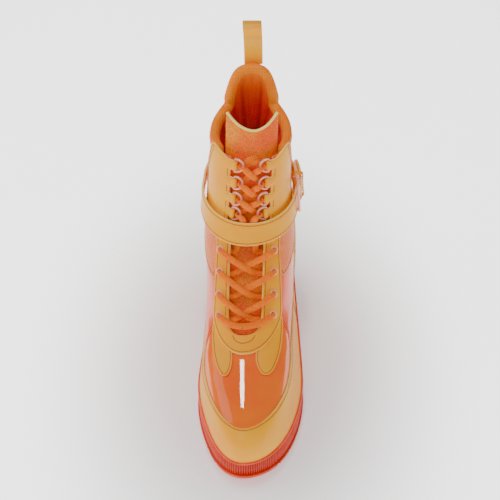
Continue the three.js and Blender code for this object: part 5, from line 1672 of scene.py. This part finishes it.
class BOOT_OT_loop(bpy.types.Operator):
    """Pull loop on the heel tab, with the anchor it is sewn to"""

    bl_idname = "boot.loop"
    bl_label = "Pull loop"

    WIDTH = 17.6
    THICKNESS = 1.35
    HEIGHT = 47.0
    HALF_GAP = 4.5
    TILT = 0.08
    LEAN = -1.6

    def anchor(self, sizes):
        """Tab at the top of the backstay that the loop is sewn to."""
        corners = [[12.58, 0.955], [12.94, 0.957], [12.94, 1.043], [12.58, 1.045]]
        loop, _ = loop_of([[corners[k], corners[(k + 1) % 4]] for k in range(4)], 1.0)
        solid = Solid()
        panel(solid, [loop], edge_rings(-0.1, 1.6, 0.4), -0.1, 3.0)
        give(solid.make("loop_anchor_leather", "webbing", "edge"), "boot", "gold_leather", "loop_anchor")
        seam = Solid()
        rows_inside(seam, loop, (1.6,), 1.6, 2.2, sizes.thread_radius)
        give(seam.make("loop_anchor_stitching", "thread", "hole"), "boot", "gold_leather")

    def strip(self):
        """Strip that rises from the anchor, curls over at the top and comes down again."""
        foot = on_boot([[12.94, 1.0]], 0.75)[0]
        g, h = self.HALF_GAP, self.HEIGHT
        line = [[0.9, 0.3], [1.2, 8], [g + 0.2, 20], [g + 0.9, 32], [g + 0.6, h - 7], [g - 0.6, h - 2.4],
                [0.3, h - 0.9], [-g - 0.2, h - 1.4], [-g - 2.2, h - 4.2], [-g - 1.2, h - 8],
                [-g + 0.7, h - 12], [-g + 0.2, 28], [-g + 0.6, 18], [-1.2, 8], [-0.9, 0.3]]
        points = []
        for v, w in line:
            y = v * math.cos(self.TILT) + w * math.sin(self.TILT)
            z = -v * math.sin(self.TILT) + w * math.cos(self.TILT)
            points.append([foot[0] + 1.4 + self.LEAN * (w / h) ** 2, foot[1] + y, foot[2] + 2.2 + z])
        path = smooth_path(points, 1.0)
        outward = np.cross(unit(np.gradient(path, axis=0)), np.array([1.0, 0, 0]))
        strip = Solid()
        sweep(path, oval(self.WIDTH, self.THICKNESS, 20, 5.0), strip, up=outward)
        piece = strip.make("pull_loop_strip", "webbing")
        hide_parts("pull_loop")
        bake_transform(piece)

    def execute(self, context):
        self.anchor(context.scene.boot_sizes)
        self.strip()
        return {"FINISHED"}


class BOOT_OT_stage(bpy.types.Operator):
    """Pale floor, soft studio light and the camera"""

    bl_idname = "boot.stage"
    bl_label = "Stage"

    def light(self, name, size, power, place, aim):
        """A lamp of a (width, length) in metres, aimed at a point."""
        lamp = bpy.data.lights.new(name, "AREA")
        lamp.energy = power
        lamp.shape = "RECTANGLE"
        lamp.size, lamp.size_y = size
        holder = bpy.data.objects.new(name, lamp)
        bpy.context.scene.collection.objects.link(holder)
        holder.location = place
        holder.rotation_euler = (Vector(aim) - Vector(place)).to_track_quat("-Z", "Y").to_euler()

    def floor(self, settings):
        """Pale floor that glows, as painted light, in a wide pool round the boot, and less right under it, as
        a painted shadow.
        """
        mesh = bpy.data.meshes.new("floor")
        mesh.from_pydata([(-6, -6, 0), (6, -6, 0), (6, 6, 0), (-6, 6, 0)], [], [(0, 1, 2, 3)])
        floor = bpy.data.objects.new("floor", mesh)
        bpy.context.scene.collection.objects.link(floor)
        material, tree, shader = blank("pale studio floor")
        shader.inputs["Base Color"].default_value = linear("#FBFAFA")
        shader.inputs["Emission Color"].default_value = linear("#FFFFFF")
        where = node(tree, "ShaderNodeTexCoord").outputs["Object"]
        flat = node(tree, "ShaderNodeMapping", {"Scale": (1.0, 0.6, 0.0)}, {"Vector": where})
        reach = node(tree, "ShaderNodeVectorMath", {"operation": "LENGTH"}, {0: flat.outputs[0]})
        # painted shadow right under the boot, painted light in the pool round it, fading further off
        near = remap(tree, reach.outputs["Value"], 0.07, 0.24, settings.floor, settings.pool, smooth=True)
        far = remap(tree, reach.outputs["Value"], 0.42, 0.8, 1.0, 0.25, smooth=True)
        glow = node(tree, "ShaderNodeMath", {"operation": "MULTIPLY"}, {0: near, 1: far})
        tree.links.new(glow.outputs[0], shader.inputs["Emission Strength"])
        shader.inputs["Roughness"].default_value = 0.9
        shader.inputs["Specular IOR Level"].default_value = 0.1
        mesh.materials.append(material)

    def sky(self, settings):
        """Even white light from all round."""
        world = bpy.data.worlds.new("even light")
        world.use_nodes = True
        background = world.node_tree.nodes["Background"]
        background.inputs["Color"].default_value = (1, 1, 1, 1)
        background.inputs["Strength"].default_value = settings.world
        bpy.context.scene.world = world

    def camera(self, settings):
        """Looks down on the toe at 45 degrees, from 1.5 m away."""
        data = bpy.data.cameras.new("camera")
        data.lens = settings.lens
        data.sensor_width = 36
        data.shift_x = -0.003
        data.clip_end = 50
        camera = bpy.data.objects.new("camera", data)
        bpy.context.scene.collection.objects.link(camera)
        reach = 1.5 / math.sqrt(2)
        camera.location = (0, 0.0148 - reach, 0.1567 + reach)
        camera.rotation_euler = (math.radians(45), 0, 0)
        bpy.context.scene.camera = camera

    def execute(self, context):
        settings = context.scene.boot_stage
        self.floor(settings)
        self.sky(settings)
        self.light("key", (1.1, 1.1), settings.key, (-1.1, 0.1, 1.2), (0, 0, 0.12))
        self.light("strip", (0.075, 0.32), settings.strip, (-0.03, 0.05, 1.4), (-0.03, 0.02, 0.07))
        self.light("front", (0.6, 0.6), settings.front, (-0.25, -1.25, 1.3), (0, -0.02, 0.12))
        self.camera(settings)
        return {"FINISHED"}


class BOOT_PT_panel(bpy.types.Panel):
    """Shows the boot's sizes and stage settings, and a button for each building step"""

    bl_idname = "BOOT_PT_panel"
    bl_label = "High-Top Boot"
    bl_space_type = "VIEW_3D"
    bl_region_type = "UI"
    bl_category = "Boot"

    def draw(self, context):
        layout = self.layout
        for group in (context.scene.boot_sizes, context.scene.boot_stage):
            box = layout.box()
            for key in type(group).__annotations__:
                box.prop(group, key)
        for operator in OPERATORS:
            layout.operator(operator.bl_idname)


OPERATORS = (BOOT_OT_sole, BOOT_OT_upper, BOOT_OT_facings, BOOT_OT_laces, BOOT_OT_inside, BOOT_OT_strap,
             BOOT_OT_loop, BOOT_OT_stage)
CLASSES = (BootSizes, StageSettings, *OPERATORS, BOOT_PT_panel)


def register():
    for cls in CLASSES:
        bpy.utils.register_class(cls)
    bpy.types.Scene.boot_sizes = bpy.props.PointerProperty(type=BootSizes)
    bpy.types.Scene.boot_stage = bpy.props.PointerProperty(type=StageSettings)


def unregister():
    del bpy.types.Scene.boot_stage
    del bpy.types.Scene.boot_sizes
    for cls in reversed(CLASSES):
        bpy.utils.unregister_class(cls)


def main():
    register()
    bpy.ops.boot.sole()
    bpy.ops.boot.upper()
    bpy.ops.boot.facings()
    bpy.ops.boot.laces()
    bpy.ops.boot.inside()
    bpy.ops.boot.strap()
    bpy.ops.boot.loop()
    bpy.ops.boot.stage()


if __name__ == "__main__":
    main()
